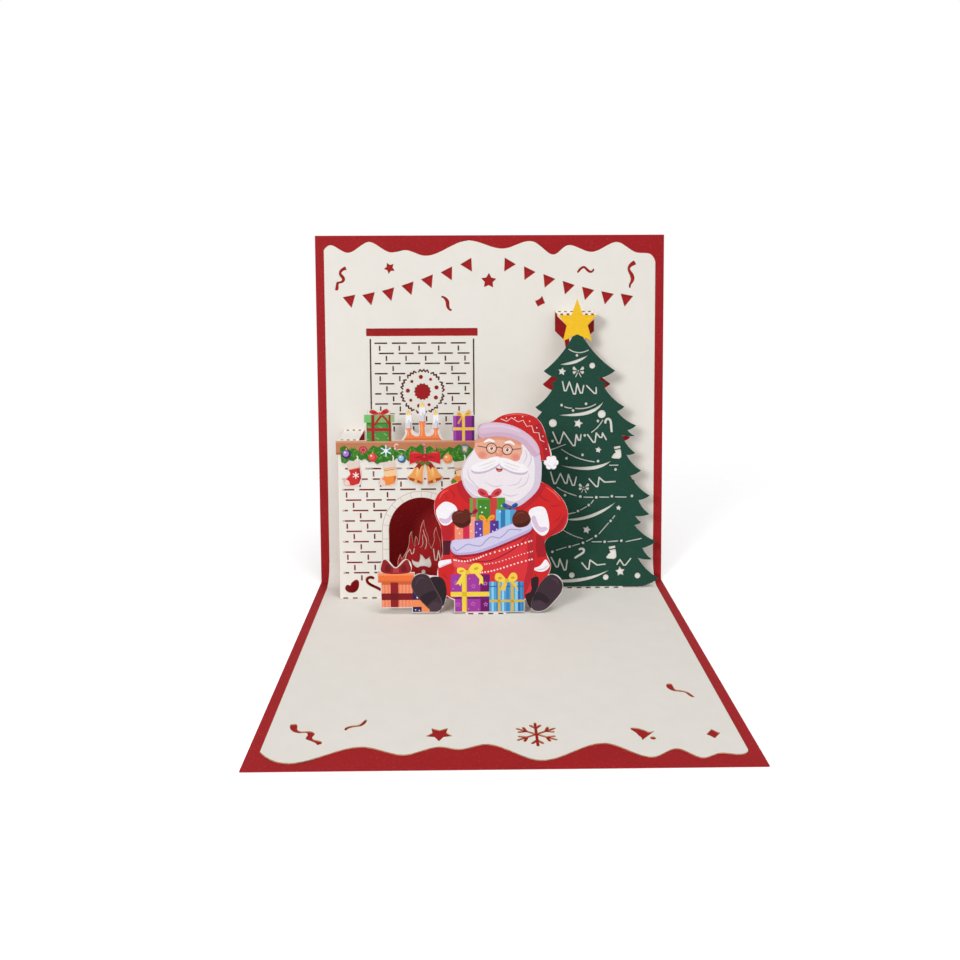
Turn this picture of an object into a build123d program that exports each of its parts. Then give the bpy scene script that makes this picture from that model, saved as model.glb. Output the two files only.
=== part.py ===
"""A pop-up greeting card, standing open: a hearth, a decorated tree and a seated figure with presents.

The frame has +X to the right, +Y away from the viewer and +Z up. The origin is the middle of the
underside of the panel that lies on the table. Sheets are drawn in two coordinates: u to the right,
and v up the sheet from the fold. On the lying panel v is negative. All sizes are in millimetres.
"""
import os
from math import cos, hypot, pi, radians, sin, sqrt, tan

from build123d import *

# The red cover, one sheet folded across its middle
PANEL_WIDTH = 150.0
PANEL_LENGTH = 150.0
OPENING_ANGLE = 100.0
COVER_THICKNESS = 0.4
COVER_FOLD_RADIUS = 0.6

# The cream liner, one sheet with slots, shapes and pop-up steps cut into it
LINER_THICKNESS = 0.3
LINER_INSET = 3.7
SNOW_INSET = 2.2
LINER_FOLD_RADIUS = 10.0
CREASE_RADIUS = 0.35
CREASE_LAP = 0.6
SLOT_WIDTH = 0.45
RIBBON_WIDTH = 1.1

# Strips of the liner that stay whole at the fold: left of the hearth, between the steps, right of the tree
LEFT_STRIP = 7.2
MIDDLE_STRIP = 3.1
RIGHT_STRIP = 5.9

# Perforations along the creases
FINE_SLIT = 1.1
FINE_PITCH = 2.6
LONG_SLIT = 2.0
LONG_PITCH = 4.0

# Bunting under the snowy edge
FLAG_WIDTH = 5.4
FLAG_LENGTH = 5.05
FLAG_COUNT = 7
BUNTING_CENTRE = -0.85
BUNTING_GAP = 19.1
BUNTING_MARGIN = 11.4
BUNTING_DROP = 23.4
BUNTING_RISE = 14.6

# Tree step of the liner
TREE_DEPTH = 10.0
TREE_CUT_LEFT = 28.4
TREE_CUT_RIGHT = 29.0
TREE_TAB_WIDTH = 16.8
TREE_TAB_HEIGHT = 117.0
TREE_HOLE_DROP = 7.0
TREE_FOOT_LEFT = 26.0
TREE_FOOT_RIGHT = 20.0
TREE_BACK_SCALE = 0.97
LEFT_BOUGH_SCALE = 0.88
BOUGH_CURVE = 0.07
STAR_RADIUS = 9.1
STAR_HEIGHT = 114.2

# Hearth step of the liner
HEARTH_DEPTH = 20.0
MANTEL_HEIGHT = 66.4
MANTEL_TAB_WIDTH = 9.0
ARCH_WIDTH = 27.2
ARCH_HEIGHT = 42.4
ARCH_RING = 2.6
FLAME_FOOT_WIDTH = 10.0
FLAME_BORDER = 0.18

# Brickwork cut into the hearth and the chimney
BRICK_HEIGHT = 4.36
BRICK_LENGTH = 8.5
BRICK_SHIFT = 2.85
BED_GAP = 2.1
TICK_LENGTH = 2.1
BRICK_MARGIN = 1.8
CHIMNEY_LEAD = 2.2
HEARTH_LEAD = 4.5
STOCKING_CLEARANCE = 6.5
CHIMNEY_WIDTH = 44.6
CHIMNEY_HEIGHT = 39.6
CHIMNEY_BAR_WIDTH = 48.0
CHIMNEY_BAR_HEIGHT = 3.2
CHIMNEY_BAR_LIFT = 1.3
WREATH_LIFT = 16.9
WREATH_RADIUS = 9.0
WREATH_CENTRE_RADIUS = 3.7

# Step that carries the figure, cut out of the hearth's right pier
FIGURE_DEPTH = 38.0
FIGURE_STEP_HEIGHT = 30.0
FIGURE_SHIFT = 3.3
PIER_STUB = 4.5

# Coloured card and printed card glued on the steps
CARD_THICKNESS = 0.3
PRINT_THICKNESS = 0.3
SHELF_OVERHANG = 0.7
SHELF_HEIGHT = 6.0
LEFT_STOCKINGS = (6.1, 20.8)
RIGHT_STOCKINGS = (18.5, 4.3)
GARLAND_TEETH = 40
GARLAND_SWAG = 17.0

# Values worked out from these
LEAN = radians(OPENING_ANGLE - 90)
HALF_TURN = radians((180 - OPENING_ANGLE) / 2)
FOLD_Y = PANEL_LENGTH / 2
LINER_HALF = PANEL_WIDTH / 2 - LINER_INSET
LINER_TOP = PANEL_LENGTH - SNOW_INSET
LINER_FRONT = PANEL_LENGTH - LINER_INSET
LINER_BEND = (LINER_FOLD_RADIUS + LINER_THICKNESS) * tan(HALF_TURN)
VALLEY_RADIUS = CREASE_RADIUS + LINER_THICKNESS
VALLEY = VALLEY_RADIUS * tan(HALF_TURN)
RIDGE = CREASE_RADIUS * tan(HALF_TURN)
CREASE_REACH = VALLEY + CREASE_LAP
TREE_CENTRE = LINER_HALF - RIGHT_STRIP - TREE_CUT_RIGHT
TREE_LEFT = TREE_CENTRE - TREE_CUT_LEFT
TREE_RIGHT = TREE_CENTRE + TREE_CUT_RIGHT
TREE_NECK = TREE_TAB_WIDTH / 2
TREE_SHOULDER = TREE_TAB_HEIGHT - RIDGE - CREASE_LAP
TREE_FOOT_START = TREE_CENTRE - TREE_FOOT_LEFT
TREE_FOOT_END = TREE_CENTRE + TREE_FOOT_RIGHT
HEARTH_LEFT = LEFT_STRIP - LINER_HALF
HEARTH_RIGHT = TREE_LEFT - MIDDLE_STRIP
HEARTH_CENTRE = (HEARTH_LEFT + HEARTH_RIGHT) / 2
HEARTH_HALF = (HEARTH_RIGHT - HEARTH_LEFT) / 2
ARCH_RADIUS = ARCH_WIDTH / 2
ARCH_SPRING = ARCH_HEIGHT - ARCH_RADIUS
FIGURE_STEP_LEFT = HEARTH_CENTRE + ARCH_RADIUS + PIER_STUB
FIGURE_CENTRE = (FIGURE_STEP_LEFT + HEARTH_RIGHT) / 2 + FIGURE_SHIFT


def upright(depth, lift=0.0, across=0.0):
    """A plane parallel to the standing panel: depth in front of it, lift off that face, u from across."""
    origin = (across, FOLD_Y - depth, COVER_THICKNESS)
    return Plane(origin, x_dir=(1, 0, 0), z_dir=(0, -cos(LEAN), sin(LEAN))).offset(lift)


def side_point(depth, height, forward=0.0):
    """A point (y, z) of the side view: height up the sheet that stands at depth, then forward."""
    return (FOLD_Y - depth + height * sin(LEAN) - forward, COVER_THICKNESS + height * cos(LEAN))


# Shapes to draw sheets with. Each returns a face that the sketch then adds or cuts in one go.
def outline(points, at=(0.0, 0.0)):
    """A face from corners (u, v, bulge): the side from a corner bulges left by that share of its length."""
    corners = [(at[0] + u, at[1] + v) for u, v, bulge in points]
    with BuildLine(mode=Mode.PRIVATE) as edge:
        for point, here, there in zip(points, corners, corners[1:] + corners[:1]):
            if point[2]:
                SagittaArc(here, there, point[2] * hypot(there[0] - here[0], there[1] - here[1]))
            else:
                Line(here, there)
    return make_face(edge.edges(), mode=Mode.PRIVATE)


def blob(points, at=(0.0, 0.0)):
    """A face inside a smooth closed curve through the points."""
    with BuildLine(mode=Mode.PRIVATE) as edge:
        Spline(*[(at[0] + u, at[1] + v) for u, v in points], periodic=True)
    return make_face(edge.edges(), mode=Mode.PRIVATE)


def block(left, right, low, high):
    """A rectangle between four limits."""
    with Locations(((left + right) / 2, (low + high) / 2)):
        return Rectangle(right - left, high - low, mode=Mode.PRIVATE)


def ribbon(points, width, at=(0.0, 0.0)):
    """A strip of even width along a smooth curve, with round ends."""
    with BuildLine(mode=Mode.PRIVATE):
        path = Spline(*[(at[0] + u, at[1] + v) for u, v in points])
    steps = 2 * len(points) - 2
    left = []
    right = []
    for i in range(steps + 1):
        way = path % (i / steps)
        aside = Vector(-way.Y, way.X) * (width / 2)
        left.append(path @ (i / steps) + aside)
        right.append(path @ (i / steps) - aside)
    with BuildLine(mode=Mode.PRIVATE) as edge:
        Spline(*left)
        Spline(*right)
        ThreePointArc(left[0], path @ 0 - (path % 0) * (width / 2), right[0])
        ThreePointArc(left[-1], path @ 1 + (path % 1) * (width / 2), right[-1])
    return make_face(edge.edges(), mode=Mode.PRIVATE)


def curl(points, at=(0.0, 0.0)):
    """A streamer through points (u, v, width): broad where its face shows, thin where it turns away."""
    upper = []
    lower = []
    for i, (u, v, width) in enumerate(points):
        before = points[max(i - 1, 0)]
        after = points[min(i + 1, len(points) - 1)]
        run = (after[0] - before[0], after[1] - before[1])
        share = width / 2 / hypot(*run)
        upper.append((at[0] + u - run[1] * share, at[1] + v + run[0] * share))
        lower.append((at[0] + u + run[1] * share, at[1] + v - run[0] * share))
    with BuildLine(mode=Mode.PRIVATE) as edge:
        Spline(*upper)
        Spline(*lower)
        Line(upper[0], lower[0])
        Line(upper[-1], lower[-1])
    return make_face(edge.edges(), mode=Mode.PRIVATE)


def swoosh(points, width):
    """A curved strip that thins to a point at both ends."""
    upper = []
    lower = []
    for before, here, after in zip(points, points[1:], points[2:]):
        run = (after[0] - before[0], after[1] - before[1])
        share = width / 2 / hypot(*run)
        upper.append((here[0] - run[1] * share, here[1] + run[0] * share))
        lower.append((here[0] + run[1] * share, here[1] - run[0] * share))
    with BuildLine(mode=Mode.PRIVATE) as edge:
        Spline(points[0], *upper, points[-1])
        Spline(points[0], *lower, points[-1])
    return make_face(edge.edges(), mode=Mode.PRIVATE)


def scribble(points, width, at=(0.0, 0.0)):
    """A strip of even width along straight runs, with rounded corners."""
    with BuildLine(mode=Mode.PRIVATE) as path:
        Polyline(*[(at[0] + u, at[1] + v) for u, v in points])
    return make_face(path.wires()[0].offset_2d(width / 2).edges(), mode=Mode.PRIVATE)


def tinsel(points, width):
    """A scribble whose low turns are broad, like a garland that hangs loosely."""
    run = []
    for i, (u, v) in enumerate(points):
        inside = 0 < i < len(points) - 1
        if inside and v < points[i - 1][1] and v < points[i + 1][1]:
            run += [(u - 0.4, v), (u + 0.4, v)]
        else:
            run.append((u, v))
    return scribble(run, width)


def dots(places, radius):
    """Discs of one size."""
    with Locations(*places):
        return Circle(radius, mode=Mode.PRIVATE)


def star(u, v, radius, turn=90.0):
    """A five-pointed star with one point at turn degrees."""
    corners = []
    for i in range(10):
        reach = radius if i % 2 == 0 else 0.53 * radius
        angle = radians(turn + 36 * i)
        corners.append((reach * cos(angle), reach * sin(angle), 0))
    return outline(corners, (u, v))


def stocking(u, v, scale, gap=-0.3):
    """A stocking with its toe to the left, about the middle of its leg, and its cuff a gap above."""
    cuff = [(-2.3, 4.0, 0), (2.7, 4.8, 0), (2.9, 2.9, 0), (-2.0, 2.1, 0)]
    foot = [
        (-1.9, 2.1 - gap, 0), (2.9, 2.9 - gap, 0.04), (3.6, -2.4, 0.32), (0.4, -5.2, 0.05),
        (-2.9, -5.0, 0.45), (-3.3, -2.9, 0.12), (-0.9, -0.6, -0.05),
    ]
    shapes = []
    for edge in (cuff, foot):
        shapes.append(outline([(x * scale, y * scale, bulge) for x, y, bulge in edge], (u, v)))
    return shapes


def candy_cane(u, v, length, turn, hook, width):
    """A hooked stick from its foot at (u, v), leaning left by turn degrees; hook is its side, 1 or -1."""
    path = [(0, 0), (0, 0.35), (0, 0.66), (0.06, 0.86), (0.2, 0.94), (0.34, 0.86), (0.4, 0.68)]
    c = cos(radians(turn)) * length
    s = sin(radians(turn)) * length
    return ribbon([(hook * x * c - y * s, hook * x * s + y * c) for x, y in path], width, (u, v))


def bow(u, v, size):
    """A tied bow as a knot, four loops and two tails."""
    shapes = [dots([(u, v)], 0.16 * size)]
    for side in (-1, 1):
        upper = [(0.2 * side, 0.1, 0), (0.75 * side, 0.85, 0.35 * side), (side, 0.2, 0)]
        lower = [(0.25 * side, -0.08, 0), (side, 0, 0.35 * side), (0.7 * side, -0.6, 0)]
        for loop in (upper, lower):
            shapes.append(outline([(x * size, y * size, bulge) for x, y, bulge in loop], (u, v)))
        tail = [(0.15 * side * size, -0.4 * size), (0.5 * side * size, -1.1 * size)]
        shapes.append(scribble(tail, 0.22 * size, (u, v)))
    return shapes


def snowflake(u, v, radius):
    """Six arms with a pair of twigs each."""
    shapes = []
    for i in range(6):
        angle = radians(60 * i + 30)
        way = Vector(radius * cos(angle), radius * sin(angle))
        fork, tip = [(way.X * reach, way.Y * reach) for reach in (0.52, 1)]
        shapes.append(scribble([(0, 0), tip], 0.12 * radius, (u, v)))
        for side in (angle - 0.7, angle + 0.7):
            twig = (fork[0] + 0.35 * radius * cos(side), fork[1] + 0.35 * radius * sin(side))
            shapes.append(scribble([fork, twig], 0.13 * radius, (u, v)))
    return shapes


# The tree's right boughs from its tip down to its foot, about its centre line; the left ones are narrower
BOUGHS = [
    (0, 112.0), (16.1, 93.2), (9.2, 90.0), (12.4, 88.2), (11.3, 86.6), (20.1, 78.0), (17.0, 76.0),
    (25.2, 70.0), (21.5, 68.0), (24.6, 65.6), (19.0, 66.0), (24.9, 58.2), (21.2, 57.4), (27.4, 50.8),
    (22.8, 48.6), (31.2, 40.0), (26.4, 38.0), (31.1, 32.0), (25.1, 31.2), (27.6, 28.6), (24.7, 27.3),
    (34.1, 20.3), (28.2, 17.4), (32.3, 12.5), (26.2, 13.2), (35.4, 4.2), (27.8, 0.9),
]
TREE_TIP = BOUGHS[0][1]
TREE_FOOT = BOUGHS[-1][1]


def tree_outline(scale=1.0, lower=0.0, left_limit=PANEL_WIDTH, right_limit=PANEL_WIDTH):
    """The tree's jagged outline about its centre line: its width scaled, lowered and trimmed."""
    points = [(x * scale, v - lower) for x, v in BOUGHS]
    curves = [BOUGH_CURVE if i % 2 else -BOUGH_CURVE for i in range(len(points) - 1)]
    right = [(x, v, curve) for (x, v), curve in zip(points, curves + [0])]
    left = [(-x * LEFT_BOUGH_SCALE, v, curve) for (x, v), curve in zip(points[:0:-1], curves[::-1])]
    corners = []
    for x, v, curve in right + left:
        trimmed = min(max(x, -left_limit), right_limit)
        corners.append((trimmed, v, curve if trimmed == x else 0))
    return corners


def liner_tree(lower=0.0):
    """The tree as it is cut from the liner: a little narrow, so that the green card hides it."""
    return tree_outline(TREE_BACK_SCALE, lower, TREE_CUT_LEFT, TREE_CUT_RIGHT)


def tree_neck(lower=0.0):
    """The neck that joins the tree to its tab, lowered. It is slim behind the star and broad at the tab."""
    right = [(TREE_NECK, TREE_TAB_HEIGHT - RIDGE), (TREE_NECK, TREE_SHOULDER), (4.2, TREE_TIP)]
    right.append((3.0, TREE_TIP - TREE_NECK))
    left = [(-u, v) for u, v in right[::-1]]
    return [(u, v - lower, 0) for u, v in right + left]


# The yellow star's corners, clockwise from its top, as shares of its radius
STAR = [
    (0, 1), (0.27, 0.26), (0.88, 0.26), (0.49, -0.22), (0.69, -0.94), (0, -0.62), (-0.66, -0.94),
    (-0.49, -0.22), (-0.87, 0.26), (-0.27, 0.26),
]


def top_star():
    """The star at the tree's tip, about the tree's centre line."""
    return outline([(x * STAR_RADIUS, y * STAR_RADIUS, 0) for x, y in STAR], (0, STAR_HEIGHT))


def mantel_backing(centre, foot):
    """What the liner holds up above the mantel: two presents and a candlestick."""
    shapes = [
        block(centre - 21.8, centre - 12.4, foot, foot + 12.2),
        block(centre + 13.9, centre + 22.0, foot, foot + 11.6),
        block(centre - 7.4, centre + 9.4, foot, foot + 1.4),
    ]
    for middle, height in ((-4.8, 9.6), (0.8, 13.0), (6.3, 9.6)):
        shapes.append(block(centre + middle - 0.9, centre + middle + 0.9, foot, foot + height))
    return shapes


# The fire's outline, clockwise from its highest tip, about the hearth's centre line
FLAME_FOOT = 4.0
FLAME = [
    (0.95, 33.2, -0.04), (2.2, 27.6, 0.06), (3.0, 23.8, 0), (3.9, 21.3, -0.06), (5.2, 25.4, 0.12),
    (6.2, 30.2, -0.04), (7.3, 25.6, 0.06), (7.9, 21.0, 0), (8.5, 16.0, 0.05), (7.2, 11.0, 0),
    (5.6, FLAME_FOOT, 0), (-5.0, FLAME_FOOT, 0), (-7.2, 10.0, 0), (-10.0, 13.2, 0.05), (-10.1, 15.8, 0.06),
    (-8.9, 18.8, -0.05), (-8.3, 16.9, -0.03), (-5.8, 21.5, -0.03), (-5.2, 26.0, 0.08), (-4.0, 28.5, -0.04),
    (-3.7, 24.4, -0.06), (-3.0, 22.4, 0.04), (-2.5, 26.4, 0.06), (-1.3, 23.4, -0.03), (-0.9, 26.8, 0),
    (-0.35, 30.0, 0.05),
]


def brick_slots(left, right, top, low, lead, clear_width):
    """Bed slots and upright joints of a brick wall about its centre line, from top down to low.

    The top row's first joint is lead from the left. A joint hangs under the middle of each bed slot.
    clear_width(v) is the half width to leave whole at height v, for an arch or a wreath.
    """
    slots = []
    half = (BRICK_LENGTH - BED_GAP) / 2
    for row in range(int((top - low) / BRICK_HEIGHT)):
        v = top - row * BRICK_HEIGHT
        joint = left - BRICK_LENGTH + (lead + row * BRICK_SHIFT) % BRICK_LENGTH
        while joint < right + half:
            start = max(joint - half, left)
            end = min(joint + half, right)
            clear = clear_width(v)
            for first, last in ((start, min(end, -clear)), (max(start, clear), end)):
                if last - first > BED_GAP / 2:
                    slots.append(block(first, last, v - SLOT_WIDTH / 2, v + SLOT_WIDTH / 2))
            middle = v - BRICK_HEIGHT / 2
            tick = TICK_LENGTH / 2
            slit = SLOT_WIDTH / 2
            if left < joint < right and abs(joint) > clear_width(middle) + SLOT_WIDTH:
                slots.append(block(joint - slit, joint + slit, middle - tick, middle + tick))
            joint += BRICK_LENGTH
    return slots


def wreath(v):
    """A leafy ring of zigzag cuts with berries and a toothed middle."""
    shapes = []
    sprays = 10
    for i in range(sprays):
        run = []
        for step in range(7):
            angle = 2 * pi * (i + step / 7.6) / sprays
            reach = WREATH_RADIUS + (0.55 if step % 2 else -0.35)
            run.append((reach * cos(angle), reach * sin(angle)))
        shapes.append(scribble(run, SLOT_WIDTH, (0, v)))
    ring = (WREATH_RADIUS + WREATH_CENTRE_RADIUS) / 2
    berries = 9
    for i in range(berries):
        angle = 2 * pi * (i + 0.4) / berries
        shapes.append(dots([(ring * cos(angle), v + ring * sin(angle))], 0.6 if i % 2 else 0.85))
    teeth = 28
    edge = []
    for i in range(teeth):
        angle = 2 * pi * i / teeth
        reach = WREATH_CENTRE_RADIUS * (0.86 if i % 2 else 1)
        edge.append((reach * cos(angle), reach * sin(angle), 0))
    shapes.append(outline(edge, (0, v)))
    return shapes


def wreath_clearance(v):
    """Half the width that the wreath and a margin take at height v."""
    reach = WREATH_RADIUS + BRICK_MARGIN
    return sqrt(max(reach**2 - (v - MANTEL_HEIGHT - WREATH_LIFT)**2, 0))


def arch_clearance(v):
    """Half the width that the arch and its ring of stones take at height v."""
    reach = ARCH_RADIUS + ARCH_RING + SLOT_WIDTH
    return sqrt(max(reach**2 - max(v - ARCH_SPRING, 0)**2, 0))


def pennants():
    """Two strings of flags that rise towards the middle."""
    shapes = []
    span = LINER_HALF - BUNTING_MARGIN - BUNTING_GAP / 2
    for side in (-1, 1):
        for i in range(FLAG_COUNT):
            along = i / (FLAG_COUNT - 1)
            u = BUNTING_CENTRE + side * (BUNTING_GAP / 2 + span * along)
            v = LINER_TOP - BUNTING_DROP + BUNTING_RISE * (1 - along)**1.5
            slope = -side * (0.2 + 0.39 * (1 - along)**1.5)
            half = FLAG_WIDTH / 2 / hypot(1, slope)
            drop = FLAG_LENGTH / hypot(1, slope)
            corners = [(-half, -slope * half, 0), (half, slope * half, 0), (slope * drop, -drop, 0)]
            shapes.append(outline(corners, (u, v)))
    return shapes


def bent_strip(points, radii):
    """The side view of a bent strip of the liner: along the points, round at its creases."""
    with BuildLine(mode=Mode.PRIVATE) as edge:
        FilletPolyline(*points, radius=radii)
        offset(amount=LINER_THICKNESS, side=Side.RIGHT)
    return make_face(edge.edges(), mode=Mode.PRIVATE)


def tab_side(depth, height):
    """A step's tab from the side: a valley crease at the standing panel and a ridge crease in front."""
    path = [
        side_point(0, height + CREASE_REACH), side_point(0, height), side_point(depth, height),
        side_point(depth, height - RIDGE - CREASE_LAP),
    ]
    return bent_strip(path, [VALLEY_RADIUS, CREASE_RADIUS])


def foot_side(depth):
    """A step's foot from the side: a valley crease at the lying panel."""
    path = [side_point(depth, CREASE_REACH), side_point(depth, 0), side_point(depth, 0, CREASE_REACH)]
    return bent_strip(path, VALLEY_RADIUS)


def perforations(left, right, depth, height, length, pitch):
    """Slits along one crease, which make the sheet fold where it should."""
    count = int((right - left) / pitch)
    start = (left + right - (count - 1) * pitch) / 2
    reach = 2 * VALLEY_RADIUS
    with Locations(*[(start + i * pitch, *side_point(depth, height)) for i in range(count)]):
        return Box(length, reach, reach, mode=Mode.PRIVATE)


# The cover: folded with a small radius, the inside of its fold at the fold line
with BuildPart() as cover:
    with BuildSketch(Plane.YZ.offset(-PANEL_WIDTH / 2)):
        with BuildLine():
            FilletPolyline(
                side_point(0, 0, PANEL_LENGTH), side_point(0, 0), side_point(0, PANEL_LENGTH),
                radius=COVER_FOLD_RADIUS,
            )
            offset(amount=COVER_THICKNESS, side=Side.RIGHT)
        make_face()
    extrude(amount=PANEL_WIDTH)

# The liner's two panels. Its steps are the same sheet, made as solids that meet the panels at the creases.
with BuildPart() as liner:
    sheets = []

    # The standing panel: a snowy top edge, and holes where the steps were cut from it
    snow = [
        (-0.96, 1.8), (-0.86, 5.0), (-0.73, 0.5), (-0.6, 4.9), (-0.51, 4.0), (-0.41, 6.2), (-0.13, 0.0),
        (0.09, 3.4), (0.27, 0.8), (0.39, 6.0), (0.46, 2.4), (0.61, 5.0), (0.77, 0.9), (0.89, 5.4),
        (0.96, 5.8),
    ]
    with BuildSketch(upright(0)):
        with BuildLine():
            crests = [(share * LINER_HALF, LINER_TOP - drop) for share, drop in snow]
            wave = Spline((-LINER_HALF, LINER_TOP - 4.0), *crests, (LINER_HALF, LINER_TOP - 9.5))
            Polyline(wave @ 1, (LINER_HALF, LINER_BEND), (-LINER_HALF, LINER_BEND), wave @ 0)
        make_face()
        tab_top = MANTEL_HEIGHT + CREASE_REACH
        neck_low = TREE_SHOULDER - TREE_HOLE_DROP
        neck_high = TREE_TAB_HEIGHT + CREASE_REACH
        cuts = [
            block(HEARTH_LEFT, HEARTH_RIGHT, 0, MANTEL_HEIGHT - HEARTH_DEPTH),
            block(HEARTH_LEFT, HEARTH_LEFT + MANTEL_TAB_WIDTH, 0, tab_top),
            block(HEARTH_RIGHT - MANTEL_TAB_WIDTH, HEARTH_RIGHT, 0, tab_top),
            outline(liner_tree(TREE_HOLE_DROP), (TREE_CENTRE, 0)),
            outline(tree_neck(TREE_HOLE_DROP), (TREE_CENTRE, 0)),
            block(TREE_CENTRE - TREE_NECK, TREE_CENTRE + TREE_NECK, neck_low, neck_high),
        ]
        cuts += mantel_backing(HEARTH_CENTRE, MANTEL_HEIGHT - HEARTH_DEPTH)
        # Bunting, two stars, streamers and a lozenge
        cuts += pennants()
        cuts.append(star(-43.2, LINER_TOP - 11.6, 2.4, 117))
        cuts.append(star(-0.6, LINER_TOP - 17.2, 3.3, 88))
        streamers = (
            [
                (-61.9, -11.6, 1.5), (-63.4, -12.2, 1.2), (-64.4, -13.6, 1.0), (-63.7, -15.0, 1.3),
                (-63.0, -16.4, 1.2), (-63.8, -17.4, 0.9), (-65.4, -17.8, 1.0), (-65.8, -19.4, 1.2),
                (-66.3, -20.9, 1.0),
            ],
            [
                (-21.0, -23.8, 0.5), (-19.6, -24.4, 1.0), (-18.5, -26.0, 1.5), (-18.3, -28.0, 1.3),
                (-17.8, -29.0, 0.9), (-16.7, -29.6, 0.6),
            ],
            [
                (37.7, -13.8, 0.5), (38.8, -12.4, 0.9), (40.4, -11.5, 0.9), (41.9, -12.7, 1.0),
                (43.3, -13.5, 0.9), (44.7, -12.3, 0.5),
            ],
            [
                (62.5, -9.6, 1.8), (60.8, -10.6, 1.5), (59.8, -12.2, 1.0), (60.3, -13.6, 1.2),
                (61.3, -15.4, 1.6), (61.3, -17.4, 1.3), (60.5, -18.8, 0.8), (60.3, -20.3, 0.5),
            ],
        )
        cuts += [curl(path, (0, LINER_TOP)) for path in streamers]
        scrap = [(-2.1, 0.2, -0.1), (0.9, 2.2, 0), (2.1, -0.8, -0.05), (-0.9, -2.2, 0)]
        cuts.append(outline(scrap, (21.5, LINER_TOP - 26.0)))
        add(cuts, mode=Mode.SUBTRACT)
    sheets.append(extrude(amount=LINER_THICKNESS, mode=Mode.PRIVATE))

    # The chimney cut into the standing panel: a bar, a slit down each side, bricks and the wreath
    with BuildSketch(upright(0, across=HEARTH_CENTRE)) as chimney:
        chimney_top = MANTEL_HEIGHT + CHIMNEY_HEIGHT
        chimney_half = CHIMNEY_WIDTH / 2
        bar_half = CHIMNEY_BAR_WIDTH / 2
        bar_low = chimney_top + CHIMNEY_BAR_LIFT
        cuts = [block(-bar_half, bar_half, bar_low, bar_low + CHIMNEY_BAR_HEIGHT)]
        slit = SLOT_WIDTH / 2
        for edge in (-chimney_half, chimney_half):
            cuts.append(block(edge - slit, edge + slit, MANTEL_HEIGHT + BRICK_MARGIN, chimney_top))
        wall_half = chimney_half - BRICK_MARGIN
        wall_top = chimney_top - BRICK_MARGIN
        wall_low = MANTEL_HEIGHT - BRICK_HEIGHT
        cuts += brick_slots(-wall_half, wall_half, wall_top, wall_low, CHIMNEY_LEAD, wreath_clearance)
        cuts += wreath(MANTEL_HEIGHT + WREATH_LIFT)
        add(cuts)
    chimney_cuts = extrude(amount=LINER_THICKNESS, mode=Mode.PRIVATE)

    # The lying panel: a snowy front edge, the floor of each step, and shapes along the front
    drift = [
        (-0.83, 0.0), (-0.57, 8.0), (-0.4, 3.6), (-0.26, 7.7), (-0.18, 6.3), (-0.09, 8.8), (0.14, 0.0),
        (0.44, 8.5), (0.61, 1.2), (0.715, 5.4), (0.8, 0.4), (0.88, 2.8), (0.95, 2.0), (0.985, 2.7),
    ]
    with BuildSketch(Plane((0, FOLD_Y, COVER_THICKNESS))):
        with BuildLine():
            crests = [(share * LINER_HALF, rise - LINER_FRONT) for share, rise in drift]
            wave = Spline((-LINER_HALF, 6.0 - LINER_FRONT), *crests, (LINER_HALF, 5.0 - LINER_FRONT))
            Polyline(wave @ 1, (LINER_HALF, -LINER_BEND), (-LINER_HALF, -LINER_BEND), wave @ 0)
        make_face()
        cuts = [
            block(HEARTH_LEFT, HEARTH_RIGHT, -HEARTH_DEPTH - CREASE_REACH, 0),
            block(FIGURE_STEP_LEFT, HEARTH_RIGHT, -FIGURE_DEPTH - CREASE_REACH, 0),
            outline(liner_tree(TREE_DEPTH), (TREE_CENTRE, 0)),
            block(TREE_FOOT_START, TREE_FOOT_END, -TREE_DEPTH - CREASE_REACH, 0),
            star(-19.2, 15.0 - LINER_FRONT, 4.1, 270),
            dots([(44.8, 11.4 - LINER_FRONT)], 0.8),
        ]
        bell = [
            (-3.2, 3.2, 0.12), (-0.3, 2.4, 0.05), (1.5, 0.8, -0.1), (3.4, 1.2, 0), (-1.1, -3.8, -0.1),
            (-1.3, -2.0, 0.05), (-2.1, 0.2, 0), (-3.2, 2.0, 0.2),
        ]
        cuts.append(outline(bell, (42.5, 14.2 - LINER_FRONT)))
        lozenge = [(0.2, 2.6, -0.05), (2.2, 0.4, 0), (-0.2, -2.6, -0.05), (-2.1, -0.4, 0)]
        cuts.append(outline(lozenge, (63.4, 13.6 - LINER_FRONT)))
        cuts += snowflake(10.1, 14.3 - LINER_FRONT, 6.5)
        streamers = (
            [
                (-64.4, 21.7, 1.5), (-63.9, 19.6, 2.1), (-63.0, 17.7, 1.4), (-61.0, 16.8, 0.9),
                (-59.2, 16.9, 1.1), (-57.9, 15.4, 2.0), (-58.2, 13.4, 1.8), (-57.0, 12.1, 1.0),
                (-55.4, 11.2, 1.5), (-54.5, 9.7, 1.3),
            ],
            [
                (-47.9, 17.8, 0.6), (-47.0, 19.5, 1.1), (-45.4, 20.1, 0.9), (-43.7, 20.6, 1.0),
                (-42.7, 22.2, 1.0), (-42.2, 23.9, 0.5),
            ],
            [
                (57.2, 46.2, 1.2), (56.9, 43.8, 2.1), (57.9, 41.6, 1.3), (59.6, 41.0, 0.9),
                (61.2, 40.2, 0.9), (62.1, 38.6, 1.1), (63.1, 36.7, 0.6),
            ],
        )
        cuts += [curl(path, (0, -LINER_FRONT)) for path in streamers]
        add(cuts, mode=Mode.SUBTRACT)
    sheets.append(extrude(amount=LINER_THICKNESS, mode=Mode.PRIVATE))

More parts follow.
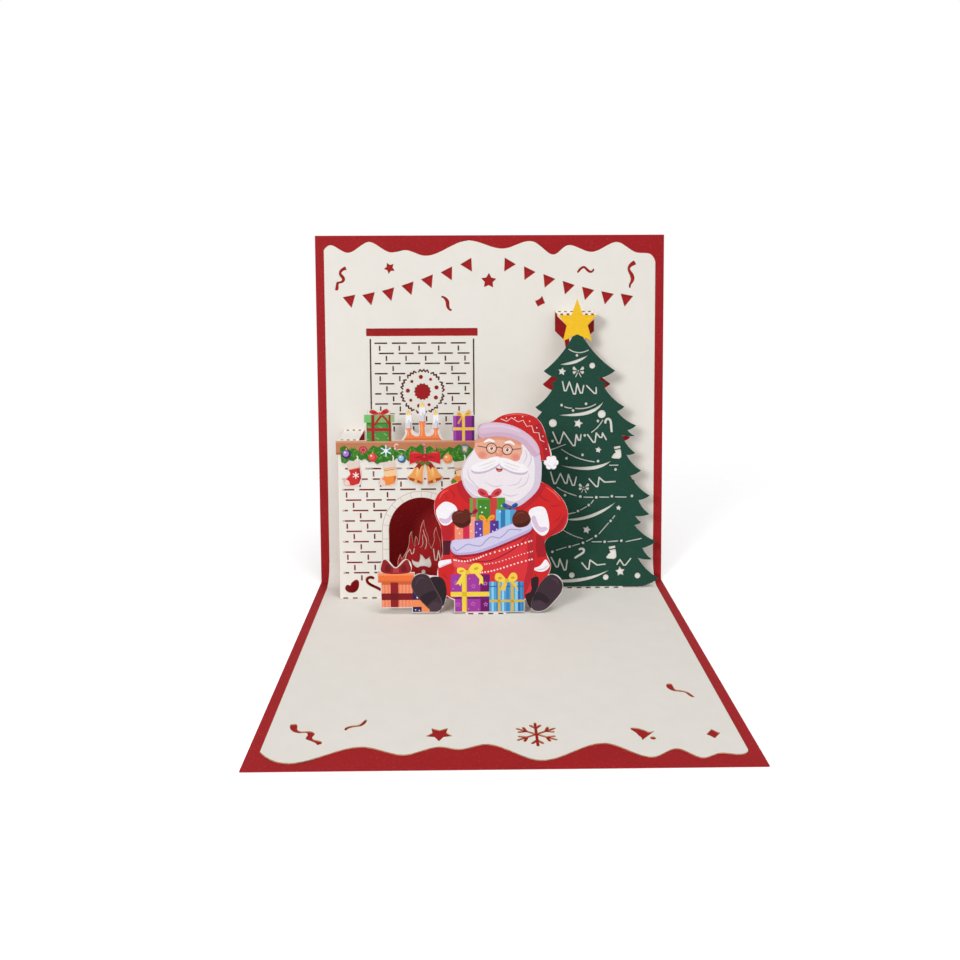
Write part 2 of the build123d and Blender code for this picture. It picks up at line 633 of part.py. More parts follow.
    # The soft fold between the two panels, left only where no step crosses it
    bend_centre = (FOLD_Y - LINER_BEND, COVER_THICKNESS + LINER_THICKNESS + LINER_FOLD_RADIUS)
    for left, right in ((-LINER_HALF, HEARTH_LEFT), (HEARTH_RIGHT, TREE_LEFT), (TREE_RIGHT, LINER_HALF)):
        with BuildSketch(Plane.YZ.offset(left)):
            with BuildLine():
                CenterArc(bend_centre, LINER_FOLD_RADIUS, -90, 180 - OPENING_ANGLE)
                offset(amount=LINER_THICKNESS, side=Side.RIGHT)
            make_face()
        sheets.append(extrude(amount=right - left, mode=Mode.PRIVATE))

    add(sheets)
    add(chimney_cuts, mode=Mode.SUBTRACT)

# The hearth's step: brickwork with an arch, what stands on the mantel, two tabs and the piers' feet
with BuildPart() as hearth_step:
    step_left = FIGURE_STEP_LEFT - HEARTH_CENTRE
    with BuildSketch(upright(HEARTH_DEPTH, across=HEARTH_CENTRE)):
        tab_edge = HEARTH_HALF - MANTEL_TAB_WIDTH
        front = [
            block(-HEARTH_HALF, HEARTH_HALF, VALLEY, MANTEL_HEIGHT - RIDGE),
            block(-tab_edge, tab_edge, ARCH_HEIGHT, MANTEL_HEIGHT),
        ]
        add(front + mantel_backing(0, MANTEL_HEIGHT))
        cuts = [
            block(-ARCH_RADIUS, ARCH_RADIUS, 0, ARCH_SPRING),
            dots([(0, ARCH_SPRING)], ARCH_RADIUS),
            block(step_left, HEARTH_HALF, 0, FIGURE_STEP_HEIGHT + CREASE_REACH),
            candy_cane(17.0 - HEARTH_HALF, 3.8, 7.4, 62, 1, RIBBON_WIDTH),
        ]
        sock = [
            (0.2, 1.7), (2.6, 2.4), (2.8, -0.4), (1.4, -2.4), (-1.6, -2.5), (-2.8, -1.0), (-1.9, 0.5),
            (-0.6, 0.2),
        ]
        cuts.append(blob(sock, (5.1 - HEARTH_HALF, 5.4)))
        wall_top = MANTEL_HEIGHT - SHELF_HEIGHT - BRICK_HEIGHT - 1.4
        edge = HEARTH_HALF - BRICK_MARGIN
        middle = FIGURE_STEP_HEIGHT + VALLEY + BRICK_MARGIN
        cuts += brick_slots(-edge, edge, wall_top, middle, HEARTH_LEAD, arch_clearance)
        rows_above = int((wall_top - middle) / BRICK_HEIGHT)
        lower_top = wall_top - rows_above * BRICK_HEIGHT
        lead = HEARTH_LEAD + rows_above * BRICK_SHIFT
        pier_end = step_left - BRICK_MARGIN
        cuts += brick_slots(-edge, pier_end, lower_top, STOCKING_CLEARANCE, lead, arch_clearance)
        add(cuts, mode=Mode.SUBTRACT)
    sheets = [extrude(amount=LINER_THICKNESS, mode=Mode.PRIVATE)]
    slits = []
    for left in (HEARTH_LEFT, HEARTH_RIGHT - MANTEL_TAB_WIDTH):
        with BuildSketch(Plane.YZ.offset(left)):
            add(tab_side(HEARTH_DEPTH, MANTEL_HEIGHT))
        sheets.append(extrude(amount=MANTEL_TAB_WIDTH, mode=Mode.PRIVATE))
        for depth in (0, HEARTH_DEPTH):
            right = left + MANTEL_TAB_WIDTH
            slits.append(perforations(left, right, depth, MANTEL_HEIGHT, FINE_SLIT, FINE_PITCH))
    for left, right in (
        (HEARTH_LEFT, HEARTH_CENTRE - ARCH_RADIUS), (HEARTH_CENTRE + ARCH_RADIUS, FIGURE_STEP_LEFT)
    ):
        with BuildSketch(Plane.YZ.offset(left)):
            add(foot_side(HEARTH_DEPTH))
        sheets.append(extrude(amount=right - left, mode=Mode.PRIVATE))
        slits.append(perforations(left, right, HEARTH_DEPTH, 0, LONG_SLIT, LONG_PITCH))
    add(sheets)
    add(slits, mode=Mode.SUBTRACT)

# The fire's backing, which stands in the arch on a foot of its own
with BuildPart() as fire_step:
    flame_half = FLAME_FOOT_WIDTH / 2
    with BuildSketch(upright(HEARTH_DEPTH, across=HEARTH_CENTRE)):
        add([outline(FLAME), block(-flame_half, flame_half, VALLEY, FLAME_FOOT + CREASE_LAP)])
    extrude(amount=LINER_THICKNESS)
    left = HEARTH_CENTRE - flame_half
    with BuildSketch(Plane.YZ.offset(left)):
        add(foot_side(HEARTH_DEPTH))
    extrude(amount=FLAME_FOOT_WIDTH)
    slits = perforations(left, left + FLAME_FOOT_WIDTH, HEARTH_DEPTH, 0, LONG_SLIT, LONG_PITCH)
    add(slits, mode=Mode.SUBTRACT)

# The tree's step, with a neck that the star hides and a tab behind it
with BuildPart() as tree_step:
    with BuildSketch(upright(TREE_DEPTH, across=TREE_CENTRE)):
        foot = block(-TREE_FOOT_LEFT, TREE_FOOT_RIGHT, VALLEY, TREE_FOOT + CREASE_LAP)
        add([outline(liner_tree()), outline(tree_neck()), foot])
    extrude(amount=LINER_THICKNESS)
    left = TREE_CENTRE - TREE_NECK
    with BuildSketch(Plane.YZ.offset(left)):
        add(tab_side(TREE_DEPTH, TREE_TAB_HEIGHT))
    extrude(amount=TREE_TAB_WIDTH)
    with BuildSketch(Plane.YZ.offset(TREE_FOOT_START)):
        add(foot_side(TREE_DEPTH))
    extrude(amount=TREE_FOOT_END - TREE_FOOT_START)
    slits = [perforations(TREE_FOOT_START, TREE_FOOT_END, TREE_DEPTH, 0, LONG_SLIT, LONG_PITCH)]
    for depth in (0, TREE_DEPTH):
        right = left + TREE_TAB_WIDTH
        slits.append(perforations(left, right, depth, TREE_TAB_HEIGHT, FINE_SLIT, FINE_PITCH))
    add(slits, mode=Mode.SUBTRACT)

# The figure's step, bent three times out of the hearth's right pier
with BuildPart() as figure_step:
    path = [
        side_point(HEARTH_DEPTH, FIGURE_STEP_HEIGHT + CREASE_REACH),
        side_point(HEARTH_DEPTH, FIGURE_STEP_HEIGHT),
        side_point(FIGURE_DEPTH, FIGURE_STEP_HEIGHT),
        side_point(FIGURE_DEPTH, 0),
        side_point(FIGURE_DEPTH, 0, CREASE_REACH),
    ]
    with BuildSketch(Plane.YZ.offset(FIGURE_STEP_LEFT)):
        add(bent_strip(path, [VALLEY_RADIUS, CREASE_RADIUS, VALLEY_RADIUS]))
    extrude(amount=HEARTH_RIGHT - FIGURE_STEP_LEFT)
    slits = []
    for depth, height in (
        (HEARTH_DEPTH, FIGURE_STEP_HEIGHT), (FIGURE_DEPTH, FIGURE_STEP_HEIGHT), (FIGURE_DEPTH, 0)
    ):
        slits.append(perforations(FIGURE_STEP_LEFT, HEARTH_RIGHT, depth, height, LONG_SLIT, LONG_PITCH))
    add(slits, mode=Mode.SUBTRACT)

# The printed sheet on the hearth: mantel shelf, garland, stockings, bells, presents and candles
with BuildPart() as hearth_print:
    with BuildSketch(upright(HEARTH_DEPTH, LINER_THICKNESS, HEARTH_CENTRE)):
        shelf_low = MANTEL_HEIGHT - SHELF_HEIGHT
        shelf_half = HEARTH_HALF + SHELF_OVERHANG
        shelf = (0, MANTEL_HEIGHT)
        shapes = [block(-shelf_half, shelf_half, shelf_low, MANTEL_HEIGHT)]
        # The garland hangs below the shelf with a ragged edge of needles
        edge = [(1.0 - HEARTH_HALF, shelf_low + 1, 0)]
        for i in range(GARLAND_TEETH + 1):
            u = (HEARTH_HALF - 1.6) * (2 * i / GARLAND_TEETH - 1)
            droop = 2.6 + 0.9 * cos(2 * pi * u / GARLAND_SWAG)
            edge.append((u, shelf_low - droop - (0.9 if i % 2 else 0), 0))
        edge.append((HEARTH_HALF - 1.0, shelf_low + 1, 0))
        shapes.append(outline(edge))
        left_hooks = [place - HEARTH_HALF for place in LEFT_STOCKINGS]
        right_hooks = [HEARTH_HALF - place for place in RIGHT_STOCKINGS]
        for hang in left_hooks + right_hooks:
            shapes += stocking(hang, MANTEL_HEIGHT - 13.4, 1.06)
            shapes.append(block(hang - 0.6, hang + 2.4, shelf_low - 4, shelf_low))
        # A bow with two bells
        knot = (1.7, MANTEL_HEIGHT)
        for side in (-1, 1):
            loop = [(0, -5.9, 0), (6.4, -4.0, 0.12), (6.6, -10.4, 0), (0, -8.4, 0)]
            bell = [
                (-0.8, -8.0, 0.15), (5.0, -12.2, -0.12), (7.8, -15.4, 0), (6.8, -16.8, 0.08),
                (1.0, -18.9, 0), (0.7, -17.4, 0),
            ]
            for shape in (loop, bell):
                shapes.append(outline([(side * u, v, side * bulge) for u, v, bulge in shape], knot))
        # A green present, a purple one, and the candlestick between them
        shapes.append(block(-22.6, -11.7, MANTEL_HEIGHT - 1, MANTEL_HEIGHT + 7.4))
        shapes.append(block(-23.5, -10.4, MANTEL_HEIGHT + 7.0, MANTEL_HEIGHT + 10.8))
        green_bow = [(-21.4, 10.6), (-19.8, 12.8), (-17, 11.7), (-13.8, 13.2), (-12.6, 10.6), (-17, 10)]
        shapes.append(blob(green_bow, shelf))
        shapes.append(block(13.2, 22.6, MANTEL_HEIGHT - 1, MANTEL_HEIGHT + 10.2))
        purple_bow = [(14.6, 10.0), (15.4, 12.2), (17.8, 11.4), (20.2, 12.8), (21.2, 10.2), (17.8, 9.4)]
        shapes.append(blob(purple_bow, shelf))
        stick = [
            (-8.1, -0.4, 0), (-6.3, 3.0, 0.1), (-6.3, 5.2, 0), (-3.5, 5.2, -0.15), (-0.4, 2.6, 0),
            (-0.8, 8.0, 0), (2.4, 8.0, 0), (2.0, 2.6, -0.15), (4.9, 5.2, 0), (7.7, 5.2, 0.1), (7.9, 3.0, 0),
            (9.7, -0.4, 0),
        ]
        glow = [(-1.0, -0.4, 0.2), (0, 2.4, 0.2), (1.0, -0.4, 0)]
        shapes.append(outline(stick, shelf))
        for middle, low, high in ((-4.9, 4.6, 10.6), (0.8, 7.6, 13.8), (6.3, 4.6, 10.6)):
            shapes.append(block(middle - 1.4, middle + 1.4, MANTEL_HEIGHT + low, MANTEL_HEIGHT + high))
            shapes.append(outline(glow, (middle, MANTEL_HEIGHT + high)))
        add(shapes)
    extrude(amount=PRINT_THICKNESS)

# The fire: red card over the cream flame that stands in the arch, which shows as a fine border
with BuildPart() as flames:
    with BuildSketch(upright(HEARTH_DEPTH, LINER_THICKNESS, HEARTH_CENTRE)):
        add(outline(FLAME))
        offset(amount=-FLAME_BORDER, kind=Kind.INTERSECTION, mode=Mode.REPLACE)
        crown = [
            (-4.2, 16.8, -0.15), (-1.3, 15.5, -0.08), (-0.9, 19.0, 0.05), (1.4, 16.5, -0.05),
            (3.5, 17.8, -0.05), (3.3, 16.8, 0.05), (3.9, 14.6, 0.2), (2.9, 13.0, -0.15), (-1.8, 13.0, 0.2),
        ]
        spark = [(-7.0, 17.0), (-6.2, 19.4), (-5.0, 20.9), (-4.3, 18.8), (-3.6, 19.2), (-3.1, 21.2)]
        cuts = [
            outline(crown),
            scribble(spark, 0.4),
            tinsel([(4.8, 21.0), (5.8, 16.2), (6.9, 20.2), (7.6, 16.2)], 0.5),
            ribbon([(0.75, 28.9), (1.0, 27.4), (1.9, 24.8), (1.9, 22.6), (1.3, 20.9)], 0.35),
            ribbon([(0.5, 26.8), (0.4, 24.8), (0.4, 23.0), (-0.8, 21.6)], 0.3),
            dots([(0.6, 11.3)], 0.9),
        ]
        add(cuts, mode=Mode.SUBTRACT)
    extrude(amount=CARD_THICKNESS)

# The tree: green card, cut with garlands, baubles, stars and scribbled tinsel
BROAD_GARLANDS = (
    [(-7.3, 95.9), (-0.7, 97.1), (4.7, 99.8)],
    [(-7.8, 74.5), (0.5, 74.8), (7.4, 76.7), (11.3, 80.3)],
    [(-7.9, 53.3), (2.6, 51.8), (10.2, 52.8), (14.6, 55.0)],
    [(-6.2, 30.2), (2.6, 30.4), (9.6, 32.8), (17.0, 37.5)],
    [(-12.4, 3.6), (-4.4, 3.3), (5.6, 4.6), (14.8, 8.5)],
)
FINE_GARLANDS = (
    [(-3.5, 102.3), (0.3, 100.9), (4.7, 101.9)],
    [(-5.3, 78.1), (-3.8, 77.6), (-2.4, 77.5)],
    [(-0.6, 77.4), (3.7, 77.5), (7.9, 79.1)],
    [(6.2, 67.2), (9.0, 69.6), (10.9, 72.3)],
    [(-11.2, 59.8), (-4.9, 62.1)],
    [(-6.6, 60.1), (-0.4, 56.6), (7.5, 54.6)],
    [(13.9, 53.1), (17.6, 53.1)],
    [(-8.4, 43.8), (-4.4, 41.6), (-0.2, 40.1)],
    [(3.0, 39.5), (6.8, 39.4)],
    [(9.8, 39.5), (13.6, 39.4)],
    [(16.5, 39.5), (21.1, 39.4)],
    [(6.1, 36.8), (7.1, 38.2)],
    [(1.6, 34.0), (4.2, 35.4)],
    [(-6.8, 31.7), (-0.6, 32.9)],
    [(-6.4, 25.8), (-2.4, 23.4), (2.6, 21.6)],
    [(6.6, 20.2), (10.6, 20.2)],
    [(13.4, 20.2), (17.6, 20.5)],
    [(21.2, 20.2), (27.8, 21.5)],
    [(-8.8, 16.7), (-4.4, 18.0)],
    [(-1.8, 18.5), (1.2, 19.4)],
    [(4.2, 20.4), (6.8, 21.8)],
    [(9.5, 23.6), (13.6, 28.3)],
    [(15.3, 30.2), (16.2, 31.4)],
)
TINSEL = (
    [(-6.2, 88.7), (-5.0, 84.9), (-3.3, 88.6), (-1.1, 83.5), (0.0, 87.9), (1.8, 83.9), (2.8, 87.0)],
    [(4.0, 87.0), (7.7, 83.7), (8.1, 86.1)],
    [(-10.3, 67.4), (-7.7, 62.6), (-5.7, 67.4), (-1.3, 61.6), (-0.3, 66.3), (1.0, 63.9), (1.7, 66.3)],
    [(4.5, 66.2), (7.3, 63.0), (8.2, 66.9), (10.2, 65.0), (10.9, 66.9), (12.5, 64.0)],
    [(-11.2, 50.4), (-9.4, 45.4), (-7.0, 49.7), (-4.7, 45.5), (-3.6, 49.3), (-1.5, 44.6), (-0.2, 48.2)],
    [(5.2, 47.3), (8.6, 44.0), (9.5, 47.9), (12.2, 45.9), (16.4, 46.1)],
    [(-11.0, 13.6), (-8.4, 9.4), (-7.3, 12.9), (-5.0, 8.1), (-4.1, 12.4)],
    [(2.2, 11.2), (4.8, 8.4), (5.7, 12.3), (9.1, 10.2), (12.2, 10.5)],
    [(17.4, 10.4), (18.6, 12.4), (20.6, 10.0), (23.2, 12.8)],
)
BEADS = (
    (-0.1, 99.7), (-6.6, 78.8), (-1.7, 76.5), (3.8, 79.3), (8.9, 72.0), (3.3, 65.9), (-10.4, 63.6),
    (2.4, 57.6),
    (-4.4, 56.2), (9.0, 54.9), (16.5, 51.3), (-9.8, 41.6), (-5.0, 40.4), (1.5, 39.8), (8.3, 39.4),
    (15.0, 39.8), (23.6, 39.9), (5.1, 36.1), (0.5, 33.5), (14.5, 29.2), (8.2, 22.7), (12.0, 20.2),
    (19.2, 20.6), (2.7, 19.8), (-3.0, 18.2), (-10.4, 16.0),
)
with BuildPart() as tree:
    with BuildSketch(upright(TREE_DEPTH, LINER_THICKNESS, TREE_CENTRE)):
        add(outline(tree_outline()))
        cuts = [top_star()]
        cuts += [swoosh(path, 1.3) for path in BROAD_GARLANDS]
        cuts += [scribble(path, 0.5) if len(path) == 2 else ribbon(path, 0.5) for path in FINE_GARLANDS]
        cuts += [tinsel(path, 0.65) for path in TINSEL]
        cuts.append(dots(BEADS, 0.6))
        cuts.append(dots([(6.4, 95.4), (-2.1, 5.8), (12.5, 4.8), (26.2, 5.4)], 1.25))
        cuts.append(dots([(10.5, 74.9), (-10.3, 71.2)], 1.7))
        stars = (
            (-6.4, 93.0, 1.8, 80), (0.5, 71.0, 2.1, 75), (9.1, 59.7, 1.5, 80), (17.9, 34.8, 1.3, 84),
            (4.3, 25.4, 1.9, 74), (18.7, 7.3, 2.2, 97),
        )
        cuts += [star(*place) for place in stars]
        for u, v, size in ((0.5, 93.2, 2.2), (3.0, 43.7, 2.0), (-9.8, 26.0, 2.2), (-19.4, 8.0, 2.2)):
            cuts += bow(u, v, size)
        cuts.append(candy_cane(14.8, 67.6, 5.8, 6, -1, 1.0))
        cuts.append(candy_cane(-0.6, 13.4, 5.2, -58, -1, 1.0))
        cuts += stocking(17.0, 58.8, 0.55, 0.7)
        cuts += stocking(15.0, 15.8, 0.57, 0.7)
        add(cuts, mode=Mode.SUBTRACT)
    extrude(amount=CARD_THICKNESS)

# The star on the tree's neck: yellow card
with BuildPart() as tree_star:
    with BuildSketch(upright(TREE_DEPTH, LINER_THICKNESS, TREE_CENTRE)):
        add(top_star())
    extrude(amount=CARD_THICKNESS)

# The printed sheet on the front step: the seated figure with its sack, and presents around it
HAT = [
    (-6.3, 72.8), (-5.2, 76.0), (-0.8, 77.1), (3.3, 79.5), (9.2, 80.6), (14.8, 79.7), (18.3, 77.3),
    (20.5, 73.0), (21.9, 68.0), (22.7, 62.6), (19.8, 61.6), (17.4, 62.2), (12.0, 66.0), (4.0, 69.0),
    (-4.8, 70.2),
]
BEARD = [
    (-4.8, 70.0), (-8.6, 65.2), (-11.4, 61.4), (-12.8, 57.2), (-11.9, 51.6), (-8.0, 46.8), (-2.3, 45.2),
    (4.2, 44.6), (9.2, 43.2), (14.3, 46.4), (18.2, 51.0), (19.1, 57.0), (19.0, 61.4), (17.0, 66.0),
    (6.0, 71.0),
]
COAT = [
    (-11.6, 53.8), (-19.9, 50.6), (-23.0, 47.0), (-23.6, 43.4), (-23.0, 39.6), (-21.4, 36.0),
    (-20.6, 30.0), (-20.6, 24.0), (-22.4, 18.6), (-20.0, 8.6), (-8.0, 4.4), (6.0, 4.4), (16.0, 8.0),
    (21.0, 14.6), (22.8, 19.6), (21.2, 24.0), (20.8, 29.8), (27.4, 33.8), (29.6, 38.6), (28.9, 43.6),
    (25.4, 48.6), (18.6, 53.4), (4.0, 54.6),
]
LEFT_BOOT = [
    (-29.3, 16.9), (-32.2, 15.4), (-33.1, 11.6), (-31.2, 8.0), (-28.0, 4.4), (-24.2, 1.2), (-21.4, 2.2),
    (-18.9, 7.8), (-18.8, 13.4), (-21.6, 15.6), (-26.0, 16.2),
]
RIGHT_BOOT = [
    (22.9, 16.2), (26.0, 15.2), (27.6, 12.2), (27.0, 8.6), (24.2, 5.1), (20.8, 1.8), (17.2, 1.0),
    (15.0, 2.2), (13.6, 5.0), (12.6, 10.2), (14.6, 14.0), (19.0, 15.6),
]
with BuildPart() as figure_print:
    with BuildSketch(upright(FIGURE_DEPTH, LINER_THICKNESS, FIGURE_CENTRE)):
        shapes = [blob(edge) for edge in (HAT, BEARD, COAT, LEFT_BOOT, RIGHT_BOOT)]
        # The bobble on the hat
        shapes.append(dots([(22.9, 60.8)], 2.2))
        with Locations((22.9, 60.8)):
            with PolarLocations(1.75, 6):
                shapes.append(Circle(1.2, mode=Mode.PRIVATE))
        # Presents in front, purple and blue, each with a bow
        shapes.append(block(-17.6, -1.4, 7.0, 16.6))
        shapes.append(block(-15.9, -1.4, 1.0, 7.0))
        yellow_bow = [(-14.8, 16.2), (-15.2, 19.0), (-11.6, 19.4), (-8.0, 21.3), (-4.4, 20.2), (-3.8, 16.4)]
        shapes.append(blob(yellow_bow))
        shapes.append(block(-2.2, 12.2, 1.0, 13.6))
        blue_bow = [(0, 13.2), (0, 16.8), (2.4, 17.6), (4.8, 15.8), (7.2, 17.5), (9.4, 16.8), (9.8, 13.2)]
        shapes.append(blob(blue_bow))
        # Presents on the left, orange with a bow, and a small one behind the boot
        shapes.append(block(-46.5, -31.6, 13.0, 17.4))
        shapes.append(block(-45.2, -32.2, 3.0, 13.2))
        red_bow = [
            (-44.6, 17.0), (-44.8, 21.6), (-43.0, 22.8), (-39.2, 19.4), (-35.2, 22.7), (-33.4, 21.6),
            (-33.4, 17.0),
        ]
        shapes.append(blob(red_bow))
        shapes.append(block(-32.8, -22.0, 1.0, 5.0))
        shapes.append(block(-32.8, -27.0, 5.0, 12.6))
        add(shapes)
    extrude(amount=PRINT_THICKNESS)

os.makedirs("parts", exist_ok=True)
pieces = {
    "cover": cover,
    "liner": liner,
    "hearth_step": hearth_step,
    "fire_step": fire_step,
    "tree_step": tree_step,
    "figure_step": figure_step,
    "hearth_print": hearth_print,
    "flames": flames,
    "tree": tree,
    "tree_star": tree_star,
    "figure_print": figure_print,
}
for name, piece in pieces.items():
    piece.part.label = name
    export_step(piece.part, f"parts/{name}.step")
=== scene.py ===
"""A pop-up greeting card that stands open: its card and printing inks, with floor, light and camera.

Sheets are drawn in millimetres, u to the right and v up the sheet from the fold. Objects are in metres, in
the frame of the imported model.
"""
import math

import bmesh
import bpy
from mathutils import Matrix, Quaternion, Vector
from mathutils.bvhtree import BVHTree


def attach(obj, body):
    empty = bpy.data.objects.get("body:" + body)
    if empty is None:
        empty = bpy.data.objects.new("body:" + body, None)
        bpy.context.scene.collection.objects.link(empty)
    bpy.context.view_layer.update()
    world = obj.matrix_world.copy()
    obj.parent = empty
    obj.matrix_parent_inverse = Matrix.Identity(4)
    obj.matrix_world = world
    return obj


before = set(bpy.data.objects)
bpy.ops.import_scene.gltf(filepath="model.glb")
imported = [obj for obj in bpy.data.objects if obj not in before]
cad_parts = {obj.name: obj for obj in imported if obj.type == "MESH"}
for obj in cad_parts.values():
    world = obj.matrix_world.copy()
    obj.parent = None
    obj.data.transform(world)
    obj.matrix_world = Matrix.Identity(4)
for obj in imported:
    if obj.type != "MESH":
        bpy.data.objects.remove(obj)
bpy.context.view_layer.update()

# The cover: one sheet of red pearlescent card, 150 by 300 mm, scored and folded once across its middle.
# It stands open at 100 degrees, and the cream liner is glued on its inside.


def linear(ink):
    """An sRGB hex colour as linear RGBA."""
    shares = [int(ink[i:i + 2], 16) / 255 for i in (0, 2, 4)]
    return [c / 12.92 if c <= 0.04045 else ((c + 0.055) / 1.055) ** 2.4 for c in shares] + [1.0]


def add_node(material, kind, inputs=None, **settings):
    """Adds one shader node with its settings, and sets or links its inputs."""
    tree = material.node_tree
    node = tree.nodes.new("ShaderNode" + kind)
    for name, value in settings.items():
        setattr(node, name, value)
    for name, value in (inputs or {}).items():
        if isinstance(value, bpy.types.NodeSocket):
            tree.links.new(value, node.inputs[name])
        else:
            node.inputs[name].default_value = value
    return node


def new_material(name):
    """A material with no nodes yet but the place on the object, and that place."""
    material = bpy.data.materials.new(name)
    material.use_nodes = True
    material.node_tree.nodes.clear()
    return material, add_node(material, "TexCoord").outputs["Object"]


def noise(material, place, size, detail, roughness=0.5):
    """A noise with grains of about this many millimetres."""
    inputs = {"Vector": place, "Scale": 1000 / size, "Detail": detail, "Roughness": roughness}
    return add_node(material, "TexNoise", inputs).outputs["Fac"]


def ramp(material, factor, *stops):
    """The colour at a factor between stops, each a position and an ink."""
    tone = add_node(material, "ValToRGB", {"Fac": factor})
    elements = tone.color_ramp.elements
    for i, (position, ink) in enumerate(stops):
        element = elements[i] if i < 2 else elements.new(position)
        element.position = position
        element.color = linear(ink)
    return tone.outputs["Color"]


def mottled(material, colour, grains, low, high):
    """A colour made darker and lighter by a noise."""
    tone = add_node(material, "MapRange", {"Value": grains, "To Min": low, "To Max": high})
    inputs = {0: colour, 1: tone.outputs["Result"]}
    return add_node(material, "VectorMath", inputs, operation="MULTIPLY").outputs["Vector"]


def coat(material, colour, roughness, gloss=0.5, **more):
    """The surface of a material, and its output."""
    inputs = {"Base Color": colour, "Roughness": roughness, "Specular IOR Level": gloss, **more}
    surface = add_node(material, "BsdfPrincipled", inputs)
    add_node(material, "OutputMaterial", {"Surface": surface.outputs["BSDF"]})


def dress(name, *materials):
    """Gives a node of the model these materials in place of its plain one."""
    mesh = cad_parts[name].data
    mesh.materials.clear()
    for material in materials:
        mesh.materials.append(material)
    return mesh


# Pearlescent card: mica in the coating gives a fine sparkle and a soft sheen over a deep red. The sparkle is
# painted into the colour as lighter flecks, which are painted glints. Mica flakes are about 0.05 mm across,
# and the painted glints are drawn at 0.3 mm so that they show.
pearl_card, place = new_material("pearlescent_red_card")
painted_glint_cells = add_node(pearl_card, "TexVoronoi", {"Vector": place, "Scale": 1000 / 0.3})
# The two lightest stops, at 0.84 and 0.92, are painted glints.
stops = ((0.0, "99191D"), (0.72, "A31C21"), (0.84, "A41F25"), (0.92, "B23A41"))
red_with_painted_glints = ramp(pearl_card, painted_glint_cells.outputs["Color"], *stops)
red = mottled(pearl_card, red_with_painted_glints, noise(pearl_card, place, 14, 4.0), 0.9, 1.08)
fibre = noise(pearl_card, place, 0.5, 3.0)
grain = add_node(pearl_card, "Bump", {"Height": fibre, "Strength": 0.25, "Distance": 0.00004})
coat(pearl_card, red, 0.6, 0.12, Normal=grain.outputs["Normal"])
dress("cover", pearl_card)

# The liner: one sheet of cream card, cut by laser and glued on the cover. Its steps stand up where the card
# opens: the hearth, the fire in its arch, the tree and the strip that carries the seated figure.
LINER_NODES = ("liner", "hearth_step", "fire_step", "tree_step", "figure_step")
LEAN = math.radians(10)
EDGE_ON = 0.9995
TURNED = 0.02

# Uncoated cream card: matt and a little cloudy, with a fine felt grain of about 0.3 mm, drawn at 0.6 mm.
cream_card, place = new_material("uncoated_cream_card")
tone = ramp(cream_card, noise(cream_card, place, 9, 5.0, 0.6), (0.3, "EAE6DE"), (0.7, "EDE9E2"))
felt = noise(cream_card, place, 0.6, 4.0, 0.6)
grain = add_node(cream_card, "Bump", {"Height": felt, "Strength": 0.3, "Distance": 0.00005})
coat(cream_card, tone, 0.85, 0.15, Normal=grain.outputs["Normal"])

# Scorched edge: the laser browns the cut, darker in places, which draws a fine brown line around each shape.
scorched_edge, place = new_material("laser_scorched_card_edge")
tone = ramp(scorched_edge, noise(scorched_edge, place, 1.5, 3.0), (0.3, "A87C54"), (0.7, "DDBB92"))
coat(scorched_edge, tone, 0.9, 0.2)

# A cut edge faces sideways in the plane of its sheet. Sheets stand at the lean or lie flat.
up_the_sheet = Vector((0, math.sin(LEAN), math.cos(LEAN)))
for name in LINER_NODES:
    for face in dress(name, cream_card, scorched_edge).polygons:
        edge_on = max(abs(face.normal.dot(up_the_sheet)), abs(face.normal.y)) > EDGE_ON
        face.material_index = 1 if edge_on or abs(face.normal.x) > TURNED else 0

# The browned rims: the laser toasts the skin of the card beside each cut, which draws a tan line around
# every shape. In and beside the narrow brick joints they are nearly black brown, partly scorch and partly
# painted shade of the deep, narrow slot. They are strips of the card's own face, with no thickness to speak
# of. There are none at the creases, where the steps go on into the liner.
RIM_WIDTH = 0.0001
RIM_FILM = 0.000005
NARROW = 0.0007
JOINT_HALF = 0.000225
JOINT_DEPTH = 0.0003
FACES_OUT = 0.98
UNDER_THE_SKIN = 0.0001
TOUCHING = 0.00003
CLEAR = 0.00001

strips = bmesh.new()


def plate(plates, top, foot):
    """Adds a closed plate between two rings of points."""
    top = [plates.verts.new(spot) for spot in top]
    foot = [plates.verts.new(spot) for spot in foot]
    faces = [plates.faces.new(top), plates.faces.new(foot[::-1])]
    for i, corner in enumerate(foot):
        k = (i + 1) % len(foot)
        faces.append(plates.faces.new((corner, foot[k], top[k], top[i])))
    return faces


def strip(ring, normal, high, low, kind):
    """A closed plate over a ring of four points, between two heights along the normal."""
    if (ring[1] - ring[0]).cross(ring[2] - ring[1]).dot(normal) < 0:
        ring = ring[::-1]
    top, foot = [[spot + normal * level for spot in ring] for level in (high, low)]
    for face in plate(strips, top, foot):
        face.material_index = kind


def as_piece(name, plates, scale=1.0):
    """An object made of the plates."""
    mesh = bpy.data.meshes.new(name)
    plates.to_mesh(mesh)
    plates.free()
    mesh.transform(Matrix.Scale(scale, 4))
    piece = bpy.data.objects.new(name, mesh)
    bpy.context.scene.collection.objects.link(piece)
    return piece


sheets = {}
for name in LINER_NODES:
    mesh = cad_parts[name].data
    corners = [vertex.co for vertex in mesh.vertices]
    sheets[name] = BVHTree.FromPolygons(corners, [face.vertices for face in mesh.polygons])

